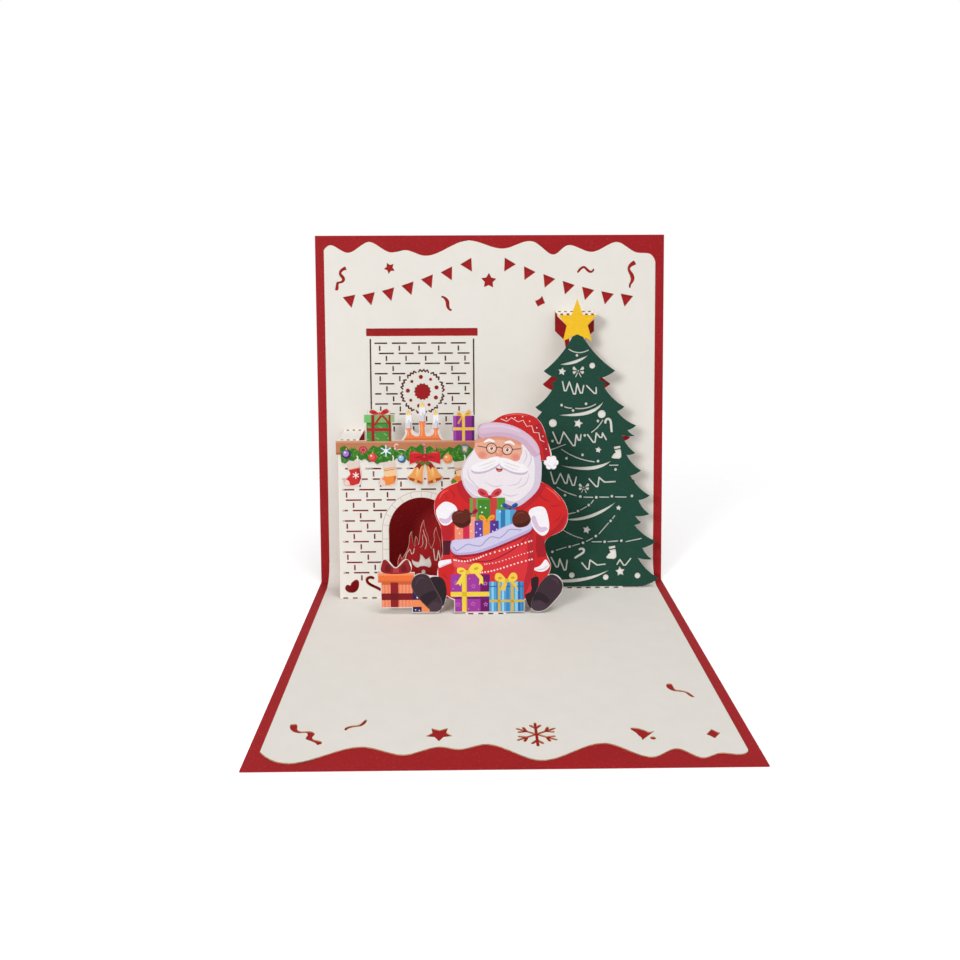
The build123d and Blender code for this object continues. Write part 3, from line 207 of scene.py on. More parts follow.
# Each edge between a face and a cut gets a strip, unless another sheet goes on there
for name in LINER_NODES:
    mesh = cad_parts[name].data
    others = [sheets[other] for other in LINER_NODES if other != name]
    spots = [tuple(round(c, 7) for c in vertex.co) for vertex in mesh.vertices]
    cuts = set()
    for face in mesh.polygons:
        if face.material_index == 1:
            cuts.update(frozenset((spots[a], spots[b])) for a, b in face.edge_keys)
    for face in mesh.polygons:
        if face.material_index == 1 or max(face.normal.z, -face.normal.y) < FACES_OUT:
            continue
        for a, b in face.edge_keys:
            if frozenset((spots[a], spots[b])) not in cuts:
                continue
            start, end = mesh.vertices[a].co, mesh.vertices[b].co
            inside = (start + end) / 2 - face.normal * UNDER_THE_SKIN
            if any(other.find_nearest(inside, TOUCHING)[0] for other in others):
                continue
            inward = face.center - start
            along = (end - start).normalized()
            inward = (inward - along * inward.dot(along)).normalized()
            away = inside - inward * CLEAR
            narrow = sheets[name].ray_cast(away, -inward, NARROW)[0] is not None
            # Beside a narrow joint the rim is nearly black brown: partly scorch, partly painted shade.
            ring = [start, end, end + inward * RIM_WIDTH, start + inward * RIM_WIDTH]
            strip(ring, face.normal, RIM_FILM, -RIM_FILM, 1 if narrow else 0)
            # A dark strip on the floor of each narrow joint in the liner: painted shade of the deep slot.
            if narrow and name == "liner":
                ring = [start, end, end - inward * JOINT_HALF, start - inward * JOINT_HALF]
                strip(ring, face.normal, 2 * RIM_FILM - JOINT_DEPTH, -JOINT_DEPTH, 1)
browned_rims_and_joint_shade = as_piece("browned_rims_and_joint_shade", strips)

# Toasted skin: a tan line beside an open shape. In and beside a narrow joint it is nearly black brown, partly
# scorch and partly painted shade of the deep slot. Both are uneven, because the laser slows down at corners.
for kind, dark, light in (
    ("laser_toasted_card_skin", "B07F55", "D2AB82"), ("laser_scorch_and_painted_joint_shade", "3E2218", "65402C"),
):
    toast_and_joint_shade, place = new_material(kind)
    tone = ramp(toast_and_joint_shade, noise(toast_and_joint_shade, place, 2, 2.0), (0.3, dark), (0.7, light))
    coat(toast_and_joint_shade, tone, 0.9, 0.15)
    browned_rims_and_joint_shade.data.materials.append(toast_and_joint_shade)
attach(browned_rims_and_joint_shade, "root")

# The arch stones: joints engraved by the laser at low power around the hearth's arch, a line at the back of
# the ring and short lines across it. They are pale brown because only the skin of the card is burnt.
PANEL_HALF = 75.0
COVER = 0.4
SHEET = 0.3
HEARTH_DEPTH = 20.0
ARCH_MIDDLE = (-29.6, 28.8)
ARCH_RADIUS = 13.6
STONE_DEPTH = 2.7
ENGRAVED_WIDTH = 0.22
ENGRAVED_FILM = 0.004


def on_sheet(u, v, depth, lift):
    """The point of a standing sheet that is depth in front of the panel, raised by lift off its back face."""
    y = PANEL_HALF - depth + v * math.sin(LEAN) - lift * math.cos(LEAN)
    return Vector((u, y, COVER + v * math.cos(LEAN) + lift * math.sin(LEAN)))


def smooth(points, closed=True, steps=6):
    """Points on a smooth curve through the given ones."""
    count = len(points)
    curve = []
    for i in range(count if closed else count - 1):
        if closed:
            a, b, c, d = [points[(i + k) % count] for k in (-1, 0, 1, 2)]
        else:
            a, b, c, d = [points[min(max(i + k, 0), count - 1)] for k in (-1, 0, 1, 2)]
        for step in range(steps):
            t = step / steps
            curve.append(tuple(
                b[k] + 0.5 * t * (c[k] - a[k] + t * (2 * a[k] - 5 * b[k] + 4 * c[k] - d[k]
                                                     + t * (3 * (b[k] - c[k]) + d[k] - a[k])))
                for k in (0, 1)))
    return curve if closed else curve + [points[-1]]


def stroke(points, width, taper=0.0, steps=6):
    """The outline of a line along a smooth curve. A taper of 1 brings its ends to points."""
    path = smooth(points, False, steps) if len(points) > 2 else points
    left = []
    right = []
    last = len(path) - 1
    for i, (u, v) in enumerate(path):
        before, after = path[max(i - 1, 0)], path[min(i + 1, last)]
        run = math.hypot(after[0] - before[0], after[1] - before[1])
        half = 0.5 * width * (1 - taper * (1 - max(math.sin(math.pi * i / last), 0.08)))
        across = (half * (before[1] - after[1]) / run, half * (after[0] - before[0]) / run)
        left.append((u + across[0], v + across[1]))
        right.append((u - across[0], v - across[1]))
    return right + left[::-1]


def lay(sheet, ink, *edges):
    """Puts fields of one ink over what the sheet has already."""
    sheet.extend((edge, ink) for edge in edges)


def area(edge):
    """Twice the area inside an edge, below 0 where it runs clockwise."""
    return sum(a[0] * b[1] - b[0] * a[1] for a, b in zip(edge, edge[1:] + edge[:1]))


def around(middle, reach, angle):
    """The point at this distance and angle from a middle."""
    return middle[0] + reach * math.cos(angle), middle[1] + reach * math.sin(angle)


def ink_piece(name, sheet, depth, face_lift, film):
    """One closed plate for each field, a film's thickness over the fields that it overlaps."""
    plates = bmesh.new()
    colour = plates.loops.layers.float_color.new("ink")
    laid = []
    for edge, ink in sheet:
        ring = edge if area(edge) > 0 else edge[::-1]
        us, vs = zip(*ring)
        west, east, south, north = min(us), max(us), min(vs), max(vs)
        under = [at for w, e, s, n, at in laid if w < east and e > west and s < north and n > south]
        level = 1 + max(under, default=0)
        laid.append((west, east, south, north, level))
        top = [on_sheet(u, v, depth, face_lift + level * film) for u, v in ring]
        foot = [on_sheet(u, v, depth, face_lift - 2 * film) for u, v in ring]
        for face in plate(plates, top, foot):
            for corner in face.loops:
                corner[colour] = linear(ink)
    plates.normal_update()
    many_sided = [face for face in plates.faces if len(face.verts) > 4]
    bmesh.ops.triangulate(plates, faces=many_sided, ngon_method="EAR_CLIP")
    bmesh.ops.recalc_face_normals(plates, faces=plates.faces)
    return as_piece(name, plates, 0.001)


stones = []
outer = ARCH_RADIUS + STONE_DEPTH
joint = (ARCH_RADIUS + 0.15, outer - 0.2)
back_line = [(ARCH_MIDDLE[0] - outer, 1.4), (ARCH_MIDDLE[0] - outer, 15.0)]
back_line += [around(ARCH_MIDDLE, outer, math.pi * (1 - i / 24)) for i in range(25)]
back_line.append((ARCH_MIDDLE[0] + outer, 15.0))
lay(stones, "C2AD98", stroke(back_line, ENGRAVED_WIDTH, steps=2))
for i in range(11):
    ends = [around(ARCH_MIDDLE, reach, math.pi * (i + 0.5) / 11) for reach in joint]
    lay(stones, "CDBBA8", stroke(ends, ENGRAVED_WIDTH))
for i in range(6):
    v = 25.2 - 4.4 * i
    for side in (-1, 1):
        ends = [(ARCH_MIDDLE[0] + side * reach, v) for reach in joint]
        if side < 0 or v > 14:
            lay(stones, "CDBBA8", stroke(ends, ENGRAVED_WIDTH))
arch_stones = ink_piece("arch_stones", stones, HEARTH_DEPTH, SHEET, ENGRAVED_FILM)

# Engraved line: the skin of the card is toasted by the laser, uneven from place to place.
engraved_line, place = new_material("engraved_cream_card")
toast = add_node(engraved_line, "VertexColor", layer_name="ink").outputs["Color"]
brown = mottled(engraved_line, toast, noise(engraved_line, place, 2, 2.0), 0.85, 1.15)
coat(engraved_line, brown, 0.9)
arch_stones.data.materials.append(engraved_line)
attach(arch_stones, "root")

# The printed sheet on the hearth: white coated card, printed in colour by offset, die-cut with a hair of
# bare card left around the print, and glued on the step. It shows the mantel shelf with its garland,
# stockings, bells and presents.
MANTEL = 66.4
SHELF_LOW = 60.4
SHELF_HALF = 35.2
HEARTH_MIDDLE = -29.6
BORDER = 0.12
INK_FILM = 0.008
SWAG = 17.0

# Coated card: smooth, warm white and satin. It shows as the border and as the sheet's edge and back.
coated_card, place = new_material("satin_coated_white_card")
tone = ramp(coated_card, noise(coated_card, place, 4, 3.0), (0.0, "D9D0CC"), (1.0, "E2DAD6"))
coat(coated_card, tone, 0.6)

# Offset ink on coated card: even fields of colour with a satin gloss and a faint mottle of about 1 mm, where
# the card took the ink unevenly.
offset_ink, place = new_material("offset_ink_on_coated_card")
mottle = noise(offset_ink, place, 1.0, 4.0, 0.6)
printed = add_node(offset_ink, "VertexColor", layer_name="ink").outputs["Color"]
satin = add_node(offset_ink, "MapRange", {"Value": mottle, "To Min": 0.42, "To Max": 0.55})
coat(offset_ink, mottled(offset_ink, printed, mottle, 0.93, 1.07), satin.outputs["Result"], 0.15)


def box(left, low, right, high):
    """A rectangle as an edge."""
    return [(left, low), (right, low), (right, high), (left, high)]


def disc(u, v, radius, flat=1.0, turn=0.0):
    """A circle, or an ellipse that is lower by flat and turned by degrees, as an edge."""
    c, s = math.cos(math.radians(turn)), math.sin(math.radians(turn))
    edge = []
    for i in range(24):
        x = radius * math.cos(math.pi * i / 12)
        y = radius * flat * math.sin(math.pi * i / 12)
        edge.append((u + x * c - y * s, v + x * s + y * c))
    return edge


def moved(edge, u, v, scale=1.0, side=1):
    """An edge scaled, mirrored where side is -1, and moved."""
    return [(u + side * scale * x, v + scale * y) for x, y in edge]


def inset(edge, by):
    """An edge moved inwards, so that a border of bare card is left around it."""
    by = by if area(edge) > 0 else -by
    inner = []
    for before, here, after in zip(edge[-1:] + edge[:-1], edge, edge[1:] + edge[:1]):
        run = math.hypot(after[0] - before[0], after[1] - before[1])
        across = (before[1] - after[1], after[0] - before[0])
        inner.append((here[0] + by * across[0] / run, here[1] + by * across[1] / run))
    return inner


def leaf(u, v, length, width, turn):
    """A pointed leaf from its foot at (u, v), pointing at turn degrees."""
    c, s = math.cos(math.radians(turn)), math.sin(math.radians(turn))
    edge = [
        (0, 0), (0.25, 0.42), (0.55, 0.5), (0.82, 0.26), (1, 0), (0.82, -0.26), (0.55, -0.5), (0.25, -0.42),
    ]
    return [(u + x * length * c - y * width * s, v + x * length * s + y * width * c) for x, y in edge]


def snow_star(u, v, radius, width):
    """The three crossing lines of a small snowflake."""
    arms = []
    for i in range(3):
        angle = math.radians(60 * i + 30)
        arms.append(stroke([around((u, v), -radius, angle), around((u, v), radius, angle)], width))
    return arms


def boxes(sheet, *rows):
    """Lays rectangles, each given as its ink, left, low, right and high."""
    for ink, *corners in rows:
        lay(sheet, ink, box(*corners))


def dots(sheet, ink, radius, *spots):
    """Lays round dots of one size."""
    lay(sheet, ink, *[disc(u, v, radius) for u, v in spots])


def bow_loops(sheet, ink, hollow_ink, hollow, *loops):
    """Lays the loops of a bow, each with the hollow that shows in it."""
    for loop in loops:
        middle = [sum(spot[k] for spot in loop) / len(loop) for k in (0, 1)]
        lay(sheet, ink, smooth(loop))
        lay(sheet, hollow_ink, disc(*middle, *hollow))


hearth = []
# The shelf: a brown board with a light upper edge, a shaded lower one and some grain
shelf_left, shelf_right = [HEARTH_MIDDLE + side * (SHELF_HALF - BORDER) for side in (-1, 1)]
boxes(
    hearth, ("BE7B57", shelf_left, SHELF_LOW + BORDER, shelf_right, MANTEL - 0.2),
    ("CE9470", shelf_left, MANTEL - 1.0, shelf_right, MANTEL - 0.2),
    ("A06142", shelf_left, SHELF_LOW + 0.3, shelf_right, SHELF_LOW + 1.0),
)
for i in range(26):
    u = HEARTH_MIDDLE - 33.4 + 64.0 * ((0.618 * i) % 1)
    v = SHELF_LOW + 1.2 + 3.8 * ((0.755 * i) % 1)
    lay(hearth, "AD6B48", stroke([(u, v), (u + 1.6, v + 0.14), (u + 3.4, v - 0.05)], 0.16, 0.8, 3))


def garland_low(u):
    """How low the sheet reaches below the shelf at u."""
    return SHELF_LOW - 2.6 - 0.9 * math.cos(2 * math.pi * (u - HEARTH_MIDDLE) / SWAG)


# The garland: a dark mass of fir with four greens of needles over it, above the sheet's ragged lower edge
mass = []
for i in range(41):
    u = HEARTH_MIDDLE + 32.9 * (2 * i / 40 - 1)
    mass.append((u, garland_low(u) - (0.9 if i % 2 else 0) + 0.35))
for i in range(34, -1, -1):
    u = HEARTH_MIDDLE + 33.4 * (2 * i / 34 - 1)
    wave = 0.8 * math.cos(2 * math.pi * (u - HEARTH_MIDDLE) / SWAG)
    mass.append((u, 63.0 + wave + (0.9 if i % 2 else -0.4)))
lay(hearth, "33701F", mass)
for i in range(230):
    u = HEARTH_MIDDLE - 32.6 + 65.2 * ((0.6180340 * i) % 1)
    low = garland_low(u) + 0.5
    v = low + (62.4 - low) * ((0.7548777 * i) % 1)
    turn = (360 * ((0.5698403 * i) % 1)) if v > low + 1.8 else 20 + 140 * ((0.5698403 * i) % 1)
    lay(hearth, ("4E9330", "3F8128", "5CA03A", "2C661C")[i % 4], leaf(u, v, 1.9, 0.55, turn))

# Balls, a flower, a snowflake, a pink twist and a lantern on the garland
for u, v, radius, dark, light in (
    (-60.3, 60.7, 1.9, "3F2558", "A57CC8"), (-49.5, 59.3, 1.8, "C8363A", "E45850"),
    (-37.5, 58.7, 1.75, "3F5F82", "9CC6E4"), (-18.4, 58.6, 2.0, "E98446", "F3A06A"),
    (-5.6, 61.2, 1.7, "8E3090", "C078C0"),
):
    lay(hearth, dark, disc(u, v, radius))
    lay(hearth, light, disc(u - 0.3, v + 0.3, 0.68 * radius))
    lay(hearth, "F7EDEC", disc(u - 0.6, v + 0.7, 0.2 * radius))
    lay(hearth, "D9B24A", box(u - 0.3, v + radius - 0.1, u + 0.3, v + radius + 0.5))
lay(hearth, "A02C34", disc(-53.4, 62.4, 1.7, 0.9))
for i in range(7):
    spot = (-53.4 + 1.0 * math.cos(0.9 * i), 62.4 + 0.9 * math.sin(0.9 * i))
    lay(hearth, "D0646C", disc(*spot, 0.4))
lay(hearth, "CFE6F6", *snow_star(-44.0, 62.0, 2.4, 0.55))
lay(hearth, "E9F4FB", disc(-44.0, 62.0, 0.8))
lay(hearth, "F2B8BE", stroke([(-40.6, 63.6), (-39.8, 64.8), (-38.8, 64.3)], 0.6), disc(-40.2, 62.9, 0.5))
lay(hearth, "F6E3D8", stroke([(-39.6, 62.2), (-37.4, 62.6), (-35.6, 61.8)], 0.3, 0.6))
lay(hearth, "6F7478", [(-12.6, 61.2), (-10.2, 60.6), (-9.6, 64.0), (-11.2, 65.0), (-12.9, 64.2)])
lay(hearth, "B9BEC2", [(-12.1, 61.7), (-10.6, 61.3), (-10.2, 63.6), (-12.3, 63.9)])
lay(hearth, "F4D777", disc(-11.3, 62.6, 0.55))

# Stockings with a pale cuff and toe
LEG = [
    (-1.9, 2.4), (2.9, 3.1), (3.5, -2.2), (2.6, -4.4), (0.4, -5.1), (-2.6, -5.1), (-3.5, -4.2),
    (-3.3, -2.9), (-2.0, -1.9), (-0.9, -0.6),
]
TOE = [(-2.6, -5.0), (-3.4, -4.2), (-3.2, -3.0), (-2.4, -2.4), (-1.2, -3.3), (-0.9, -4.9)]
CUFF = [(-2.3, 4.0), (2.7, 4.8), (2.9, 1.9), (-1.7, 1.0)]
STOCKING_MIDDLE = 53.0
STOCKING_SCALE = 1.06


def hung(edge, u):
    """An edge of a stocking, where the stocking hangs."""
    return moved(edge, u, STOCKING_MIDDLE, STOCKING_SCALE)


for u, cloth, trim, shade, toe in (
    (-58.0, "CB2D2E", "F6EDEA", "A82228", "EBD0C4"), (-43.3, "F08C40", "F4CD9C", "D9762F", "EBD0C4"),
    (-13.6, "F0893F", "F4CD9C", "D3702C", "5F8427"), (0.6, "CB2D2E", "F6EDEA", "A82228", "5F8427"),
):
    lay(hearth, cloth, inset(hung(LEG, u), BORDER))
    lay(hearth, shade, hung([(2.6, 2.6), (3.1, -2.2), (2.3, -4.0), (2.2, -1.6), (1.9, 2.5)], u))
    lay(hearth, toe, inset(hung(TOE, u), BORDER))
    if cloth == "CB2D2E":
        lay(hearth, trim, *snow_star(u + 1.4, 51.9, 1.4, 0.36))
    else:
        lay(hearth, trim, hung([(-1.7, 1.2), (3.0, 1.9), (3.4, -1.2), (-1.0, -1.7)], u))
        lay(hearth, shade, hung([(-1.5, 0.8), (2.9, 1.5), (2.9, 1.2), (-1.4, 0.5)], u))
    lay(hearth, "E4D1C4", inset(hung(CUFF, u), BORDER))
    lay(hearth, "CDB3A4", hung([(-1.6, 1.4), (2.8, 2.3), (2.8, 1.9), (-1.6, 1.0)], u))
    lay(hearth, "E9EBD6", stroke([(u + 2.2, 57.6), (u + 2.3, 59.4), (u + 1.9, 60.0)], 0.5))

# The bow and its two bells
KNOT = (-27.9, MANTEL)
BELL = [
    (-0.4, -8.3), (2.2, -8.9), (4.3, -11.3), (5.2, -13.3), (7.3, -15.3), (6.6, -16.5), (3.8, -17.7),
    (1.3, -18.4), (1.0, -17.3), (0.9, -13.0),
]


def tie(ink, edge, side=1):
    """Lays an edge that is drawn from the knot of the bow, mirrored where side is -1."""
    lay(hearth, ink, moved(edge, *KNOT, 1.0, side))


for side in (-1, 1):
    shine = [(1.6, -9.8), (3.2, -11.8), (3.9, -13.8), (3.3, -15.4), (2.0, -13.6), (1.4, -11.4)]
    lip = [(7.3, -15.3), (6.6, -16.5), (3.8, -17.7), (1.3, -18.4), (1.0, -17.3), (3.9, -16.2)]
    tie("EFA255", BELL, side)
    tie("F5B670", smooth(shine), side)
    tie("F9D79A", stroke([(2.2, -10.8), (3.1, -12.4), (3.4, -14.2)], 0.5, 0.9), side)
    tie("C96A36", lip, side)
    tie("9A4526", disc(4.3, -16.7, 2.4, 0.24, 20), side)
    tie("EFAF57", disc(3.9, -17.0, 0.7), side)
for side in (-1, 1):
    for turn, length in ((-150, 4.2), (-118, 3.2)):
        tip = moved(leaf(0.4, -8.6, length, 1.5, turn + 180), *KNOT, 1.0, side)
        lay(hearth, "2F6B2A", [(u, min(v, 58.4)) for u, v in tip])
    tail = [(0.6, -8.2), (2.6, -9.4), (4.3, -11.6), (3.0, -11.2), (2.4, -12.4), (1.0, -10.0)]
    tie("8E1A24", tail, side)
    loop = [(0.3, -6.2), (3.2, -4.9), (6.0, -4.5), (6.5, -7.2), (6.3, -10.0), (3.6, -9.2), (0.3, -8.2)]
    tie("CF232C", loop, side)
    tie("A81B25", [(0.6, -6.7), (2.6, -6.6), (4.6, -7.4), (2.6, -7.7), (0.6, -7.9)], side)
    tie("E4565A", stroke([(2.6, -5.5), (4.4, -5.2), (5.6, -5.6)], 0.45, 0.8), side)
knot = [(-1.2, -6.0), (1.2, -6.0), (1.4, -7.4), (1.1, -8.6), (-1.1, -8.6), (-1.4, -7.4)]
tie("B41D27", smooth(knot))
tie("D7444A", disc(-0.3, -6.9, 0.45))
for turn in (205, -25, 235, -55):
    tie("3B7A2F", leaf(0, -8.9, 2.4, 1.1, turn))
tie("C8242E", disc(-0.4, -9.1, 0.45))
tie("C8242E", disc(0.4, -9.0, 0.45))
tie("D88B8E", stroke([(0.0, -5.6), (0.0, -2.6), (-0.3, -1.7), (-1.0, -1.7)], 0.8))
for i in range(3):
    rise = 0.95 * i
    stripe = [(-0.4, -5.0 + rise), (0.4, -4.7 + rise), (0.4, -4.35 + rise), (-0.4, -4.65 + rise)]
    tie("A8303A", stripe)

# The green present: dotted paper, a lighter lid and dark red ribbons
SEAT = MANTEL - 0.4
boxes(hearth, ("4C8C3C", -51.9, SEAT, -41.6, 73.7), ("3D8431", -43.8, SEAT, -41.6, 73.7))
for i in range(24):
    spot = (-51.4 + 9.2 * ((0.618 * i) % 1), MANTEL + 0.4 + 6.4 * ((0.755 * i) % 1))
    dots(hearth, "9FD08C", 0.2, spot)
boxes(
    hearth, ("86A968", -52.8, 73.7, -40.3, 76.9), ("72BE6B", -52.8, 73.7, -49.8, 76.9),
    ("9CB67E", -42.6, 73.7, -40.3, 76.9), ("36752C", -51.9, 73.0, -41.6, 73.7),
    ("9B2028", -49.9, SEAT, -48.6, 76.9), ("9B2028", -42.7, SEAT, -41.9, 76.9),
    ("A8242D", -51.9, 70.1, -41.6, 71.4),
)
for tail in ([(-45.6, 76.6), (-47.0, 74.9), (-48.4, 72.6)], [(-45.4, 76.6), (-43.8, 75.0), (-42.4, 72.8)]):
    lay(hearth, "A02A24", stroke(tail, 0.85))
bow_loops(
    hearth, "C4302C", "8E1A24", (0.8, 0.4),
    [(-46.8, 77.3), (-48.4, 78.7), (-49.9, 78.9), (-50.6, 77.8), (-48.4, 76.9)],
    [(-46.2, 77.3), (-44.8, 78.9), (-43.3, 79.2), (-42.6, 78.0), (-44.6, 76.9)],
)
lay(hearth, "D65A55", disc(-46.5, 77.4, 0.6))

# The purple present: a yellow ribbon and bow
boxes(
    hearth, ("8A2F8E", -16.1, SEAT, -7.3, 76.3), ("A64BA6", -16.1, SEAT, -14.9, 76.3),
    ("5C1F64", -8.4, SEAT, -7.3, 76.3), ("EFC256", -12.4, SEAT, -11.2, 76.3),
    ("EFC256", -16.1, 70.3, -7.3, 71.5),
)
lay(hearth, "E9A935", stroke([(-12.2, 76.2), (-13.2, 74.6), (-14.0, 73.0)], 0.7))
bow_loops(
    hearth, "ECB43A", "C98A22", (0.55, 0.5),
    [(-12.0, 76.4), (-13.6, 78.0), (-14.4, 77.6), (-14.4, 76.5), (-13.2, 76.2)],
    [(-11.6, 76.4), (-9.8, 78.5), (-9.0, 78.1), (-8.9, 76.8), (-10.4, 76.2)],
)
lay(hearth, "F7D870", disc(-11.8, 76.4, 0.6))

# The candlestick with three candles
STICK = [
    (-8.0, -0.1), (-7.3, 0.7), (-6.5, 2.2), (-6.2, 3.5), (-7.0, 5.1), (-4.3, 5.1), (-4.9, 3.5), (-4.4, 2.3),
    (-3.1, 1.5), (-1.7, 1.5), (-1.1, 2.4), (-0.9, 4.8), (-1.5, 7.8), (1.5, 7.8), (0.9, 4.8), (1.1, 2.4),
    (1.7, 1.5), (3.1, 1.5), (4.4, 2.3), (4.9, 3.5), (4.3, 5.1), (7.0, 5.1), (6.2, 3.5), (6.5, 2.2),
    (7.3, 0.7), (8.0, -0.1),
]
STICK_FOOT = (-28.8, MANTEL)
lay(hearth, "EF8449", moved(STICK, *STICK_FOOT))
lay(hearth, "DD6E36", moved([(-8.0, -0.1), (-7.3, 0.7), (7.3, 0.7), (8.0, -0.1)], *STICK_FOOT))
for u in (-5.7, 0.0, 5.6):
    top = 7.4 if u == 0 else 4.7
    shine = stroke([(u - 0.5, top), (u - 0.2, top - 2.2), (u - 0.4, 1.6)], 0.5, 0.5)
    lay(hearth, "F6A676", moved(shine, *STICK_FOOT))
for middle, low, high in ((-4.9, 4.9, 10.4), (0.8, 7.7, 13.6), (6.3, 4.9, 10.4)):
    u = HEARTH_MIDDLE + middle
    lay(hearth, "D9D6DE", box(u - 1.1, MANTEL + low, u + 1.1, MANTEL + high))
    drip = [
        (-1.15, 0), (1.15, 0), (1.15, -2.6), (0.8, -3.0), (0.4, -2.2), (0.0, -1.8), (-0.4, -3.4),
        (-0.8, -3.6), (-1.15, -2.8),
    ]
    lay(hearth, "F4F3F6", moved(drip, u, MANTEL + high))
    lay(hearth, "B9B4C4", box(u + 0.6, MANTEL + low, u + 1.1, MANTEL + high - 3.2))
    glow = smooth([(0, 2.1), (-0.55, 0.9), (-0.6, 0.1), (0, -0.2), (0.6, 0.1), (0.55, 0.9)])
    lay(hearth, "F5CB3C", moved(glow, u, MANTEL + high))
    lay(hearth, "FBEA9A", moved(disc(0, 0.4, 0.28, 1.5), u, MANTEL + high))
hearth_ink = ink_piece("hearth_ink", hearth, HEARTH_DEPTH, 2 * SHEET, INK_FILM)
hearth_ink.data.materials.append(offset_ink)
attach(hearth_ink, "root")
dress("hearth_print", coated_card)

# The fire: red card cut by laser, glued over the cream flame that stands in the arch.
# Its cuts let the cream card through.

# Dyed card: coloured through and matt. Long fibres of about 1 mm make it faintly streaked.
dyed_cards = []
for kind, dark, light in (
    ("dyed_red_card", "9A161A", "A81E20"), ("dyed_green_card", "1B4135", "22493B"),
    ("dyed_yellow_card", "F3BC20", "F9C931"),
):
    card, place = new_material(kind)
    stretch = add_node(card, "Mapping", {"Vector": place, "Scale": (1000 / 1.2, 1000 / 0.5, 1000 / 0.5)})
    inputs = {"Vector": stretch.outputs["Vector"], "Scale": 1.0, "Detail": 4.0}
    fibre = add_node(card, "TexNoise", inputs).outputs["Fac"]
    tone = ramp(card, fibre, (0.3, dark), (0.7, light))
    grain = add_node(card, "Bump", {"Height": fibre, "Strength": 0.3, "Distance": 0.00004})
    coat(card, tone, 0.75, 0.15, Normal=grain.outputs["Normal"])
    dyed_cards.append(card)
red_card, green_card, yellow_card = dyed_cards
dress("flames", red_card)

# The tree and its star: dark green card with garlands, tinsel and baubles cut out of it, over the cream
# step, and a yellow card star glued on the neck above it.
dress("tree", green_card)
dress("tree_star", yellow_card)

# The printed sheet on the front step: white coated card, printed and die-cut in the same way. It shows a
# seated figure in winter dress with a sack and presents, and is glued on the strip bent from the hearth.
FIGURE_DEPTH = 38.0
HAT = [
    (-6.3, 72.8), (-5.2, 76.0), (-0.8, 77.1), (3.3, 79.5), (9.2, 80.6), (14.8, 79.7), (18.3, 77.3),
    (20.5, 73.0), (21.9, 68.0), (22.7, 62.6), (19.8, 61.6), (17.4, 62.2), (12.0, 66.0), (4.0, 69.0),
    (-4.8, 70.2),
]
BEARD = [
    (-4.8, 70.0), (-8.6, 65.2), (-11.4, 61.4), (-12.8, 57.2), (-11.9, 51.6), (-8.0, 46.8), (-2.3, 45.2),
    (4.2, 44.6), (9.2, 43.2), (14.3, 46.4), (18.2, 51.0), (19.1, 57.0), (19.0, 61.4), (17.0, 66.0),
    (6.0, 71.0),
]
COAT = [
    (-11.6, 53.8), (-19.9, 50.6), (-23.0, 47.0), (-23.6, 43.4), (-23.0, 39.6), (-21.4, 36.0), (-20.6, 30.0),
    (-20.6, 24.0), (-22.4, 18.6), (-20.0, 8.6), (-8.0, 4.4), (6.0, 4.4), (16.0, 8.0), (21.0, 14.6),
    (22.8, 19.6), (21.2, 24.0), (20.8, 29.8), (27.4, 33.8), (29.6, 38.6), (28.9, 43.6), (25.4, 48.6),
    (18.6, 53.4), (4.0, 54.6),
]
figure = []


def shape(ink, points):
    """Lays a smooth shape on the figure's sheet."""
    lay(figure, ink, smooth(points))


def draw(ink, *line):
    """Lays a line on the figure's sheet, given as its points, width and taper."""
    lay(figure, ink, stroke(*line))


# Presents on the left: orange stripes with dark red ribbons, and a dotted one half hidden
boxes(figure, ("2D2350", -32.5, 1.3, -22.3, 4.7), ("2D2350", -32.5, 4.6, -27.3, 12.3))
for i in range(16):
    dots(figure, "E9E4F4", 0.24, (-32.0 + 4.4 * ((0.618 * i) % 1), 5.0 + 6.8 * ((0.755 * i) % 1)))
dots(figure, "E9E4F4", 0.24, (-31.4, 2.2), (-29.9, 1.9), (-24.9, 2.8), (-24.2, 1.9))
boxes(
    figure, ("F08C54", -32.5, 3.4, -28.3, 6.2), ("F08C54", -29.0, 1.3, -25.8, 4.7),
    ("E98159", -44.9, 3.3, -32.5, 13.3),
)
for i in range(9):
    u = -44.6 + 1.4 * i
    lay(figure, "EF9877", box(u, 3.3, u + 0.6, 12.6))
boxes(
    figure, ("C8623C", -44.9, 12.4, -32.5, 13.3), ("EC733D", -46.2, 13.3, -31.9, 17.1),
    ("F58E5C", -46.2, 16.1, -31.9, 17.1), ("D9622F", -46.2, 13.3, -31.9, 13.9),
    ("8E1C22", -41.3, 3.3, -38.2, 13.3), ("7C161D", -44.9, 6.2, -32.5, 8.9),
    ("691219", -41.3, 6.2, -38.2, 8.9),
)
shape("8E1E24", [
    (-44.2, 17.2), (-44.5, 21.3), (-43.0, 22.4), (-39.2, 19.0), (-35.2, 22.3), (-33.8, 21.3), (-33.8, 17.2),
])
for u in (-42.3, -35.8):
    shape("6E141B", [(u - 1.1, 17.9), (u - 0.7, 20.3), (u + 0.6, 20.3), (u + 1.1, 17.9)])
lay(figure, "B23A42", box(-40.2, 17.2, -37.8, 19.0))

